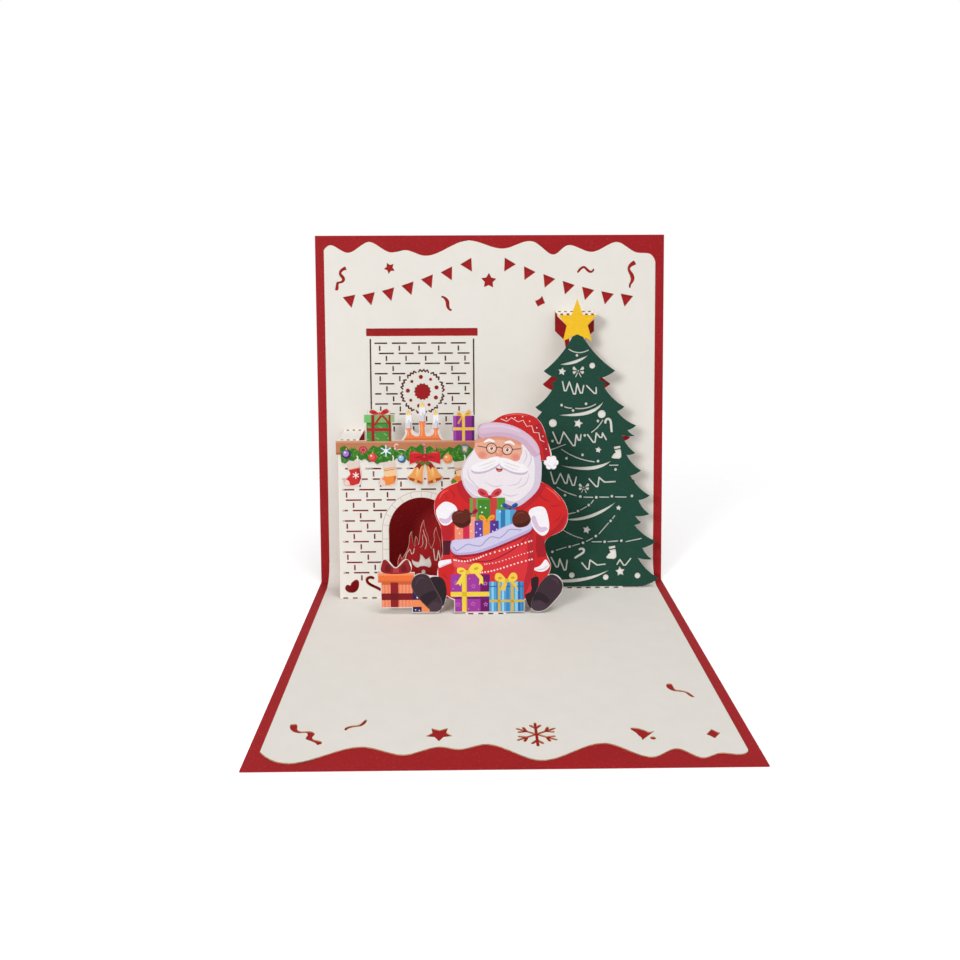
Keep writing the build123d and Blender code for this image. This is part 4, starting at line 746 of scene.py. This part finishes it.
# The coat and trousers, with folds
lay(figure, "CE2526", inset(smooth(COAT), BORDER))
shape("B9212A", [
    (-13.0, 54.0), (-14.4, 50.4), (-10.4, 45.0), (-2.4, 43.2), (4.4, 42.4), (9.4, 41.2), (15.4, 44.6),
    (20.0, 50.0), (19.4, 52.6), (8.0, 53.8), (-6.0, 53.6),
])
shape("B4202A", [(28.8, 39.4), (27.0, 34.8), (21.4, 31.0), (21.6, 32.6), (25.0, 35.4), (27.4, 39.0)])
lay(figure, "A51D27", [(17.0, 32.2), (20.3, 30.6), (20.5, 25.2), (21.0, 23.4), (17.4, 22.8), (16.6, 27.6)])
shape("B4202A", [(-20.2, 35.6), (-17.0, 36.0), (-16.2, 33.0), (-17.4, 30.6), (-20.2, 30.8)])
for fold, width in (
    ([(-17.4, 50.6), (-15.8, 48.6), (-15.6, 46.4)], 0.6),
    ([(-19.4, 48.8), (-18.6, 47.4), (-18.6, 46.4)], 0.4), ([(17.6, 49.6), (19.2, 47.0), (22.6, 45.0)], 0.7),
    ([(22.4, 43.6), (24.6, 43.4), (26.4, 44.2)], 0.5), ([(23.6, 37.0), (25.8, 38.4), (27.2, 41.0)], 0.5),
    ([(-16.2, 19.4), (-15.2, 13.4), (-16.6, 7.4)], 0.9), ([(16.6, 16.4), (15.8, 13.0), (14.6, 10.6)], 0.8),
    ([(-20.6, 17.0), (-19.6, 15.6), (-18.2, 15.0)], 0.5),
):
    draw("AE1F29", fold, width, 0.85)
for light in ([(-21.6, 46.6), (-20.2, 49.0), (-17.6, 50.4)], [(20.6, 51.2), (24.2, 48.6), (26.8, 45.4)]):
    draw("E4524C", light, 0.7, 0.9)
lay(figure, "4A1626", [(-20.2, 30.0), (-17.0, 30.0), (-17.6, 24.3), (-20.2, 24.3)])

# Fur at the hems of the coat
shape("F3EFF5", [(-21.9, 21.6), (-19.6, 22.2), (-16.9, 22.4), (-16.7, 21.2), (-19.4, 20.0), (-21.9, 19.2)])
draw("D6CADF", [(-21.4, 19.6), (-19.4, 20.3), (-17.0, 21.3)], 0.5, 0.6)
shape("F3EFF5", [
    (15.7, 18.4), (18.4, 19.6), (20.4, 22.0), (21.6, 21.2), (22.2, 19.2), (20.2, 17.4), (17.6, 17.3),
])
draw("D6CADF", [(16.6, 18.0), (19.6, 18.2), (21.6, 19.6)], 0.55, 0.6)

# Boots seen from the sole
for shaft, sole, arch, heel in (
    ([(-25.6, 14.6), (-22.4, 15.5), (-20.0, 14.2), (-19.0, 10.6), (-19.1, 7.6), (-20.6, 3.6), (-23.0, 9.0)],
     [(-33.0, 11.8), (-32.1, 15.2), (-29.4, 16.7), (-26.2, 15.9), (-23.9, 11.6), (-21.1, 6.4), (-20.9, 2.9),
      (-22.8, 1.4), (-24.9, 1.6), (-28.2, 4.6), (-31.3, 8.2)],
     [(-29.6, 7.0), (-27.4, 9.0), (-23.8, 10.0), (-22.6, 7.4), (-24.6, 5.6), (-26.9, 3.9)],
     [(-26.6, 3.4), (-24.2, 5.5), (-21.4, 4.8), (-21.0, 2.9), (-22.8, 1.5), (-24.9, 1.7)]),
    ([(17.8, 14.8), (14.6, 14.3), (12.6, 11.6), (12.5, 7.4), (13.5, 4.2), (15.2, 2.6), (17.0, 8.0)],
     [(25.2, 15.3), (27.4, 12.4), (26.9, 8.9), (24.1, 5.3), (20.7, 2.0), (17.4, 1.2), (15.2, 2.3),
      (15.0, 5.0), (16.8, 9.2), (19.2, 13.6), (22.4, 16.0)],
     [(15.4, 5.6), (16.8, 9.0), (20.2, 8.2), (22.4, 5.6), (20.6, 4.2), (18.2, 5.6)],
     [(15.4, 2.6), (17.4, 1.3), (20.6, 2.2), (20.9, 4.2), (18.2, 5.7), (15.5, 4.8)]),
):
    shape("261A20", shaft)
    shape("6E5A5C", sole)
    lay(figure, "3B2B34", inset(smooth(sole), 0.16))
    lay(figure, "281C23", inset(smooth(arch), 0.2))
    lay(figure, "45343F", inset(smooth(heel), 0.16))
draw("4A3844", [(-31.4, 12.2), (-29.8, 14.9), (-27.6, 14.9)], 0.7, 0.9)
draw("4A3844", [(22.6, 14.4), (24.9, 13.7), (26.0, 11.4)], 0.7, 0.9)

# The hat's red cloth
lay(figure, "C42526", inset(smooth(HAT), BORDER))
shape("A91F29", [
    (18.2, 76.2), (20.0, 72.6), (21.3, 67.8), (22.1, 63.0), (20.2, 62.2), (19.6, 66.4), (18.2, 70.8),
    (16.0, 74.6),
])

# The beard and hair behind the face
lay(figure, "D6C8DC", inset(smooth(BEARD), BORDER))
shape("EEE7EC", [
    (-5.0, 69.0), (-8.4, 64.8), (-11.0, 61.0), (-12.2, 57.2), (-11.2, 52.2), (-7.6, 48.2), (-2.0, 46.9),
    (3.6, 46.4), (8.6, 45.4), (12.6, 47.8), (15.8, 52.0), (16.4, 57.4), (16.2, 61.6), (14.4, 66.0),
    (6.0, 70.0),
])
shape("E2D8E4", [
    (-11.6, 55.0), (-10.4, 51.6), (-7.0, 48.6), (-2.0, 47.4), (3.8, 46.8), (1.0, 49.0), (-4.4, 50.0),
    (-8.6, 52.6),
])
for line in (
    [(-8.4, 53.8), (-5.6, 50.6), (-1.6, 49.6)], [(-10.2, 58.6), (-9.6, 55.2), (-7.4, 52.2)],
    [(2.6, 48.8), (6.8, 47.6), (10.2, 48.6)], [(9.0, 50.6), (12.8, 52.6), (14.2, 56.6)],
    [(5.4, 51.8), (9.4, 52.4), (11.4, 55.2)], [(13.4, 58.6), (15.0, 62.0), (14.2, 65.4)],
    [(11.6, 60.2), (13.2, 63.2), (12.6, 66.0)], [(-3.6, 53.4), (0.4, 51.4), (4.0, 52.2)],
):
    draw("D2C5D6", line, 0.4, 0.85)

# The face: a calm, plain one with round spectacles, turned a little with the head
EYES = ((-0.7, 66.6), (5.5, 66.0))
NOSE = (2.3, 64.7)
shape("E9AB92", [
    (-6.4, 69.8), (-7.4, 67.0), (-6.8, 64.4), (-4.4, 62.6), (0.4, 61.8), (4.6, 61.6), (8.8, 62.0),
    (11.0, 63.8), (11.4, 66.8), (10.0, 69.4), (5.0, 71.2), (-0.4, 71.6),
])
shape("DD977F", [
    (-6.4, 70.2), (-6.8, 68.6), (-1.0, 70.0), (5.0, 69.7), (10.4, 67.8), (10.4, 69.2), (5.0, 71.2),
    (-0.4, 71.7),
])
for u, v in ((-4.3, 64.0), (8.8, 63.0)):
    lay(figure, "E69A84", disc(u, v, 1.9, 0.85))
    lay(figure, "E48C79", disc(u, v, 1.2, 0.85))
for u, v in EYES:
    for ink, *ring in (("4A2C28", 2.15), ("F0BBA4", 1.8), ("FBF4F0", 0.95, 0.72), ("33211F", 0.6)):
        lay(figure, ink, disc(u, v, *ring))
    lay(figure, "FFFFFF", disc(u - 0.2, v + 0.22, 0.18))
    draw("C9836F", [(u - 1.1, v + 0.75), (u, v + 1.15), (u + 1.1, v + 0.7)], 0.25, 0.5)
draw("4A2C28", [(1.3, 66.7), (2.4, 67.1), (3.5, 66.5)], 0.35)
lay(figure, "4A2C28", stroke([(-2.8, 66.9), (-6.2, 67.6)], 0.3), stroke([(7.6, 66.1), (10.9, 66.4)], 0.3))
for brow in ([(-3.6, 69.0), (-1.6, 69.9), (0.6, 69.2)], [(4.4, 68.7), (6.6, 69.1), (8.4, 67.9)]):
    draw("F6F2F4", brow, 1.1, 0.7)
lay(figure, "D98571", disc(NOSE[0], NOSE[1] - 0.1, 1.5, 0.85))
lay(figure, "E69C87", disc(NOSE[0] - 0.1, NOSE[1] + 0.1, 1.25, 0.85))
lay(figure, "F5C3B2", disc(NOSE[0] - 0.5, NOSE[1] + 0.5, 0.35))
shape("A63A3A", [(0.9, 58.9), (2.4, 58.5), (3.9, 58.8), (3.3, 57.6), (2.4, 57.2), (1.4, 57.6)])
shape("D77B78", [(1.6, 57.8), (2.4, 57.9), (3.1, 57.8), (2.4, 57.4)])
MOUSTACHE = [
    (0.0, 63.2), (3.2, 63.0), (7.0, 61.4), (9.8, 60.4), (11.2, 58.6), (9.6, 57.4), (6.0, 57.6), (2.6, 59.0),
    (0.2, 60.6),
]
for side in (-1, 1):
    drop = 0.5 if side > 0 else 0.0
    lobe = smooth([(2.4 + side * u, v - drop) for u, v in MOUSTACHE])
    lay(figure, "CBB9CF", [(u, v - 0.8) for u, v in lobe])
    lay(figure, "F6F2F5", lobe)
    for line in ([(1.4, 61.9), (4.8, 60.6), (8.4, 59.4)], [(1.8, 60.6), (4.6, 59.2), (7.4, 58.4)]):
        draw("D9CDDD", [(2.4 + side * u, v - drop) for u, v in line], 0.3, 0.8)

# The hat's stitching, fur brim and bobble
draw("E2504A", [(4.4, 79.2), (9.2, 80.0), (14.0, 79.2)], 0.6, 0.9)
zigzag = [
    (3.0, 78.2), (5.4, 77.2), (7.2, 78.6), (9.8, 77.0), (11.8, 77.6), (13.2, 75.2), (15.2, 75.4),
    (16.0, 72.8), (18.0, 72.6), (18.6, 69.8), (20.2, 69.0),
]
lay(figure, "F0C9C6", stroke(zigzag, 0.3, steps=1))
dots(
    figure, "F6DFDC", 0.24, (5.2, 78.4), (8.6, 78.6), (11.6, 79.0), (14.4, 77.2), (17.2, 74.6), (19.6, 71.2),
    (20.9, 66.2),
)
BRIM = [
    (-6.1, 73.8), (-4.6, 76.1), (-1.4, 76.8), (3.5, 76.6), (9.0, 75.0), (14.0, 72.0), (17.2, 68.5),
    (18.4, 65.2), (17.6, 63.5), (15.9, 63.2), (14.0, 65.3), (11.2, 68.5), (6.3, 70.7), (0.8, 71.3),
    (-4.6, 70.7), (-5.9, 71.8),
]
shape("D0AEC6", BRIM)
shape("DABDD2", [
    (-5.8, 74.0), (-4.4, 75.9), (-1.4, 76.6), (3.5, 76.4), (9.0, 74.8), (13.8, 71.9), (17.0, 68.4),
    (18.1, 65.4), (17.4, 64.4), (15.8, 66.6), (12.2, 70.2), (7.0, 72.4), (1.0, 73.0), (-4.4, 72.4),
])
shape("E2CADD", [
    (-4.8, 74.6), (-3.4, 75.7), (0.0, 76.0), (5.4, 75.4), (10.6, 73.4), (10.0, 73.0), (5.0, 74.6),
    (0.0, 75.0),
])
BOBBLE = (22.9, 60.8)
for i in range(6):
    dots(figure, "F6F4F8", 1.0, around(BOBBLE, 1.75, math.radians(60 * i)))
lay(figure, "F6F4F8", disc(*BOBBLE, 2.0))
for start in (200, 290):
    arc = [around(BOBBLE, 1.6, math.radians(start + 25 * k)) for k in range(4)]
    draw("DDD5E6", arc, 0.4, 0.9)

# The sack and the presents in it
lay(figure, "D8343B", smooth([
    (-16.9, 24.6), (-13.6, 26.0), (-6.8, 27.0), (3.6, 30.4), (11.8, 33.4), (16.0, 33.4), (15.8, 27.8),
    (16.5, 20.6), (14.8, 14.0), (12.4, 8.0), (-13.0, 8.0), (-16.4, 14.0), (-15.9, 18.6), (-16.9, 21.4),
], steps=4))
shape("B8262F", [
    (14.2, 32.6), (16.0, 33.0), (15.8, 27.8), (16.4, 20.6), (14.8, 14.0), (12.6, 8.4), (10.8, 10.0),
    (12.6, 15.4), (13.6, 21.0), (13.4, 27.6),
])
shape("E2545A", [(-15.6, 22.4), (-10.4, 20.6), (-5.6, 19.6), (-10.8, 18.4), (-15.4, 19.4)])
draw("8E1620", [
    (-16.6, 23.6), (-10.0, 22.0), (-4.0, 21.5), (0.4, 22.4), (6.0, 25.2), (10.0, 28.0), (13.6, 31.6),
], 0.4)
for row, size in (
    ([(-15.8, 22.2), (-11.6, 21.6), (-7.0, 22.6), (-3.0, 24.2), (4.0, 26.2), (9.6, 28.0), (15.0, 29.6)],
     0.34),
    ([(-3.6, 20.4), (0.8, 21.0), (6.2, 22.6), (11.0, 24.2), (15.4, 25.4)], 0.24),
    ([(-5.4, 17.0), (-1.0, 17.6), (4.0, 19.0), (9.6, 20.8), (15.2, 22.2)], 0.34),
):
    dots(figure, "F8E6E4", size, *smooth(row, False, 4))
boxes(
    figure, ("64A34A", -9.4, 38.0, -2.6, 47.0), ("43822A", -6.2, 38.0, -1.4, 47.0),
    ("50942E", 1.4, 38.0, 4.6, 47.0), ("C8403A", -1.4, 38.0, 1.4, 47.0), ("C4574A", -8.3, 38.0, -6.9, 47.0),
    ("5E9E3C", -6.2, 46.2, -1.4, 47.0), ("6BBBE0", 0.9, 33.0, 8.8, 42.2), ("3179B4", 2.8, 33.0, 4.6, 42.2),
    ("4C9CCB", 6.6, 33.0, 8.8, 42.2), ("EF8A70", -15.5, 27.0, -7.2, 39.4),
    ("CE2C4E", -12.2, 27.0, -9.7, 39.4), ("F2A08A", -9.4, 27.0, -7.2, 39.4),
    ("6240A8", -7.6, 28.0, 2.0, 37.8), ("503290", -1.0, 28.0, 2.0, 37.8),
    ("F19A40", -4.3, 28.0, -1.5, 37.8),
)
dots(figure, "F1F6EA", 0.3, (-5.2, 43.4), (-3.2, 43.0), (-4.6, 41.2), (3.2, 43.8), (2.6, 41.4))
dots(
    figure, "E8DFF6", 0.28, (-6.6, 36.6), (-5.4, 34.6), (-6.9, 33.2), (-5.2, 32.2), (0.2, 36.2), (1.2, 34.4),
    (-0.4, 33.6),
)
dots(figure, "FCE3DA", 0.28, (-14.6, 37.4), (-14.4, 34.8), (-13.6, 32.8), (-9.2, 36.6), (-9.0, 33.8))
for knot, spread, ink, shade in (
    ((-1.5, 47.3), 4.8, "D4424C", "A02838"), ((-2.7, 37.9), 3.2, "F3A436", "D98A24"),
    ((6.5, 42.6), 3.2, "2F5F9E", "21457E"), ((-9.0, 40.6), 2.9, "A52446", "761632"),
):
    for side in (-1, 1):
        loop = [(0.05, 0.0), (0.3, 0.5), (0.75, 0.72), (1.0, 0.5), (0.8, 0.14), (0.4, -0.02)]
        shape(ink, moved(loop, *knot, spread, side))
        hollow = [(0.35, 0.22), (0.7, 0.5), (0.82, 0.42), (0.66, 0.2)]
        shape(shade, moved(hollow, *knot, spread, side))
    lay(figure, shade, disc(*knot, 0.16 * spread))
RIM = [
    (-17.0, 29.2), (-17.2, 26.6), (-15.8, 24.7), (-13.0, 24.2), (-7.0, 24.8), (-1.6, 26.4), (4.4, 28.8),
    (10.4, 31.4), (14.9, 33.9), (15.2, 37.4), (9.0, 37.0), (4.6, 35.6), (0.8, 33.8), (-3.6, 32.0),
    (-9.0, 30.8), (-15.4, 30.4),
]
lay(figure, "A51D27", moved(smooth(RIM), 0.3, -0.9))
shape("B8B0DC", RIM)
shape("D3CCEB", [
    (-16.7, 29.0), (-16.8, 26.9), (-15.4, 25.5), (-12.8, 25.1), (-7.0, 25.8), (-1.8, 27.5), (4.0, 29.9),
    (10.0, 32.5), (14.7, 34.8), (15.0, 37.2), (9.0, 36.8), (4.6, 35.4), (0.8, 33.6), (-3.6, 31.8),
    (-9.0, 30.6), (-15.3, 30.2),
])
wave = [
    (-16.2, 27.4), (-14.8, 25.9), (-12.6, 27.2), (-10.4, 28.5), (-7.6, 27.9), (-5.0, 27.9), (-3.0, 30.0),
    (-0.8, 31.4), (2.2, 30.9), (4.4, 32.4), (6.2, 34.2), (8.8, 34.2), (11.0, 34.0),
]
draw("9AA0C4", wave, 0.42)

# Cuffs and mittens
for cuff, shade in (
    ([(-19.5, 45.5), (-15.9, 44.5), (-14.4, 42.1), (-15.6, 38.8), (-17.9, 36.4), (-20.4, 36.4),
      (-22.4, 39.4), (-22.6, 42.7)],
     [(-20.6, 37.2), (-18.2, 37.0), (-16.2, 39.4), (-15.2, 42.0), (-16.6, 41.2), (-18.6, 38.8),
      (-21.6, 39.0)]),
    ([(14.0, 41.4), (17.3, 43.3), (20.5, 42.5), (22.0, 37.2), (21.7, 33.4), (19.5, 31.7), (16.8, 33.4),
      (15.2, 36.1)],
     [(15.0, 38.6), (16.4, 35.0), (18.8, 33.0), (21.4, 34.2), (20.6, 35.2), (18.2, 35.4), (16.4, 39.6)]),
):
    shape("F5F2F7", cuff)
    shape("D8C3DC", shade)
for mitten, shade in (
    ([(-16.5, 40.5), (-14.0, 42.1), (-12.2, 41.8), (-11.3, 42.6), (-9.6, 41.6), (-9.1, 39.0), (-9.6, 36.4),
      (-12.9, 35.0), (-16.0, 37.0)],
     [(-15.8, 37.4), (-12.9, 35.4), (-9.9, 36.6), (-9.6, 38.6), (-12.2, 36.8)]),
    ([(7.4, 38.8), (8.6, 41.0), (10.4, 42.0), (13.2, 41.2), (14.8, 38.3), (13.4, 35.8), (10.1, 35.0),
      (7.9, 36.1)],
     [(8.2, 36.4), (10.1, 35.3), (13.2, 36.0), (14.4, 38.2), (11.6, 36.8)]),
):
    shape("5C2318", mitten)
    shape("43160F", shade)
draw("7A3C2B", [(-15.6, 40.2), (-13.8, 41.2), (-12.2, 41.0)], 0.5, 0.8)
draw("7A3C2B", [(8.6, 39.6), (10.4, 41.0), (12.4, 40.6)], 0.5, 0.8)

# The purple present in front: outlined stars, a yellow ribbon and bow
boxes(
    figure, ("A03A9C", -17.3, 7.0, -1.7, 16.3), ("A03A9C", -15.6, 1.3, -1.7, 7.2),
    ("6A1660", -5.4, 1.3, -1.7, 16.3), ("6C1D74", -15.6, 6.4, -1.7, 7.2),
)
for u, v in ((-15.2, 13.0), (-8.2, 11.6), (-14.4, 4.2), (-8.4, 4.4), (-3.3, 4.2), (-3.4, 12.6)):
    star = [around((u, v), 0.52 if i % 2 else 1.05, math.radians(90 + 36 * i)) for i in range(10)]
    lay(figure, "C978CC", star)
    lay(figure, "8E2F92", [(u + 0.6 * (x - u), v + 0.6 * (y - v)) for x, y in star])
dots(
    figure, "D9A0DC", 0.2, (-16.4, 10.6), (-9.8, 14.6), (-6.4, 8.8), (-10.2, 2.4), (-2.6, 8.8), (-6.2, 2.2),
)
boxes(
    figure, ("F0D245", -12.8, 1.3, -10.8, 16.3), ("F0D245", -17.3, 7.4, -1.7, 9.3),
    ("DDB52F", -12.8, 7.4, -10.8, 9.3), ("DDB52F", -11.3, 1.3, -10.8, 7.4),
    ("DDB52F", -11.3, 9.3, -10.8, 16.3),
)
lay(
    figure, "F3D94E",
    [(-12.4, 17.0), (-13.8, 14.6), (-15.4, 12.2), (-14.2, 12.6), (-13.4, 11.6), (-12.4, 14.4), (-11.2, 16.6)],
    [(-6.4, 17.4), (-4.4, 15.2), (-4.2, 12.0), (-5.2, 12.8), (-6.0, 12.0), (-5.8, 14.4), (-7.6, 16.6)],
)
bow_loops(
    figure, "F3D94E", "D6AC2C", (1.0, 0.5, 15),
    [(-10.6, 17.0), (-12.2, 18.9), (-14.4, 18.9), (-14.6, 17.2), (-12.8, 16.4)],
    [(-10.4, 17.0), (-8.6, 20.4), (-5.6, 20.6), (-4.4, 18.6), (-6.4, 16.8)],
)
lay(figure, "E6C236", disc(-10.4, 17.2, 1.0, 0.85))

# The blue present in front: stripes, a golden ribbon and bow
lay(figure, "4F9FD2", box(-1.9, 1.3, 11.9, 13.3))
for left, width, ink in (
    (-1.0, 0.9, "8CCBE8"), (1.0, 1.3, "2E73B2"), (3.2, 0.8, "9AD4EE"), (4.9, 1.2, "3C86C2"),
    (8.4, 1.1, "8CCBE8"), (9.6, 1.0, "2E6CAA"), (11.0, 0.9, "3A80BA"),
):
    lay(figure, ink, box(left, 1.3, left + width, 13.3))
boxes(
    figure, ("2A5F99", -1.9, 11.2, 11.9, 11.6), ("D0B252", 6.7, 1.3, 7.9, 13.3),
    ("D0B252", 1.5, 1.3, 2.6, 13.3), ("D0B252", -1.9, 5.0, 11.9, 6.0), ("BC9632", 6.7, 5.0, 7.9, 6.0),
    ("BC9632", 1.5, 5.0, 2.6, 6.0),
)
bow_loops(
    figure, "F2CF4B", "CC9F2C", (0.85, 0.55),
    [(5.0, 13.6), (3.0, 16.4), (0.9, 16.6), (0.5, 14.2), (2.8, 13.2)],
    [(5.4, 13.6), (6.8, 16.6), (8.8, 16.6), (9.3, 14.4), (7.6, 13.2)],
)
lay(
    figure, "EBC543", [(4.6, 13.6), (3.0, 11.6), (2.4, 9.6), (3.6, 10.2), (4.4, 9.4), (5.2, 12.4)],
    [(5.8, 13.6), (7.6, 12.0), (9.8, 9.4), (9.0, 12.0), (7.4, 13.6)],
)
lay(figure, "E0B73C", disc(5.2, 13.7, 0.9, 0.85))
figure_ink = ink_piece("figure_ink", figure, FIGURE_DEPTH, 2 * SHEET, INK_FILM)
figure_ink.data.materials.append(offset_ink)
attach(figure_ink, "root")
dress("figure_print", coated_card)

# The floor: a white paper sweep under the card. Far from the card it fades out into the white world, and it
# is lifted a little for the camera, so that it is as white as the world and keeps the card's shadow.
FLOOR_LIFT = 0.4

bpy.ops.mesh.primitive_circle_add(vertices=96, radius=1.6, fill_type="NGON", location=(0, 0, -0.0002))
floor = bpy.context.object
floor.name = "paper_floor"

# White paper: matt, with cloudiness too faint to notice.
floor_paper, place = new_material("white_backdrop_paper")
cloud = add_node(floor_paper, "TexNoise", {"Vector": place, "Scale": 8.0})
tone = ramp(floor_paper, cloud.outputs["Fac"], (0.0, "FAFAFA"), (1.0, "FEFEFE"))
matt = add_node(floor_paper, "BsdfDiffuse", {"Color": tone})
rays = add_node(floor_paper, "LightPath")
lift = add_node(floor_paper, "Math", {0: rays.outputs["Is Camera Ray"], 1: FLOOR_LIFT}, operation="MULTIPLY")
white = add_node(floor_paper, "Emission", {"Strength": lift.outputs["Value"]})
paper = add_node(floor_paper, "AddShader", {0: matt.outputs["BSDF"], 1: white.outputs["Emission"]})
away = add_node(floor_paper, "VectorMath", {0: place}, operation="LENGTH")
span = {"Value": away.outputs["Value"], "From Min": 0.15, "From Max": 0.36}
fade = add_node(floor_paper, "MapRange", span, interpolation_type="SMOOTHSTEP")
clear = add_node(floor_paper, "BsdfTransparent")
mixed = add_node(floor_paper, "MixShader", {
    "Fac": fade.outputs["Result"], 1: paper.outputs["Shader"], 2: clear.outputs["BSDF"],
})
add_node(floor_paper, "OutputMaterial", {"Surface": mixed.outputs["Shader"]})
floor.data.materials.append(floor_paper)

# The light: a white world that the camera sees as plain white, a large soft box in front on the left, one
# above and a weak one on the right.
world = bpy.data.worlds.new("white_room")
bpy.context.scene.world = world
world.use_nodes = True
world.node_tree.nodes.clear()
rays = add_node(world, "LightPath")
seen = rays.outputs["Is Camera Ray"]
for kind in ("Is Glossy Ray", "Is Transmission Ray"):
    seen = add_node(world, "Math", {0: seen, 1: rays.outputs[kind]}, operation="MAXIMUM").outputs["Value"]
level = add_node(world, "MapRange", {"Value": seen, "To Min": 0.2, "To Max": 1.0})
backdrop = add_node(world, "Background", {"Color": linear("FFFFFF"), "Strength": level.outputs["Result"]})
add_node(world, "OutputWorld", {"Surface": backdrop.outputs["Background"]})
for name, spot, target, size, power in (
    ("key_soft_box", (-0.62, -0.95, 0.58), (0.0, 0.05, 0.05), 0.4, 8.2),
    ("top_soft_box", (0.15, -0.2, 1.1), (0.0, 0.0, 0.0), 0.8, 5.2),
    ("fill_soft_box", (0.8, -0.8, 0.6), (0.0, 0.05, 0.05), 0.9, 1.8),
):
    lamp = bpy.data.lights.new(name, "AREA")
    lamp.shape = "DISK"
    lamp.size = size
    lamp.energy = power
    soft_box = bpy.data.objects.new(name, lamp)
    soft_box.location = spot
    soft_box.rotation_euler = (Vector(target) - Vector(spot)).to_track_quat("-Z", "Y").to_euler()
    bpy.context.scene.collection.objects.link(soft_box)

# The camera, where the photograph was taken from: in front of the card, a little above it.
lens = bpy.data.cameras.new("camera")
lens.sensor_width = 36.0
lens.lens = 34.25
lens.clip_start = 0.01
camera = bpy.data.objects.new("camera", lens)
camera.location = (-0.0098, -0.3048, 0.1430)
yaw, pitch, roll = [math.radians(a) for a in (-0.73, 14.28, -0.21)]
forward = Vector((-math.sin(yaw) * math.cos(pitch), math.cos(yaw) * math.cos(pitch), -math.sin(pitch)))
camera.rotation_mode = "QUATERNION"
camera.rotation_quaternion = forward.to_track_quat("-Z", "Y") @ Quaternion((0, 0, 1), roll)
bpy.context.scene.collection.objects.link(camera)
bpy.context.scene.camera = camera
bpy.context.scene.view_settings.view_transform = "Standard"
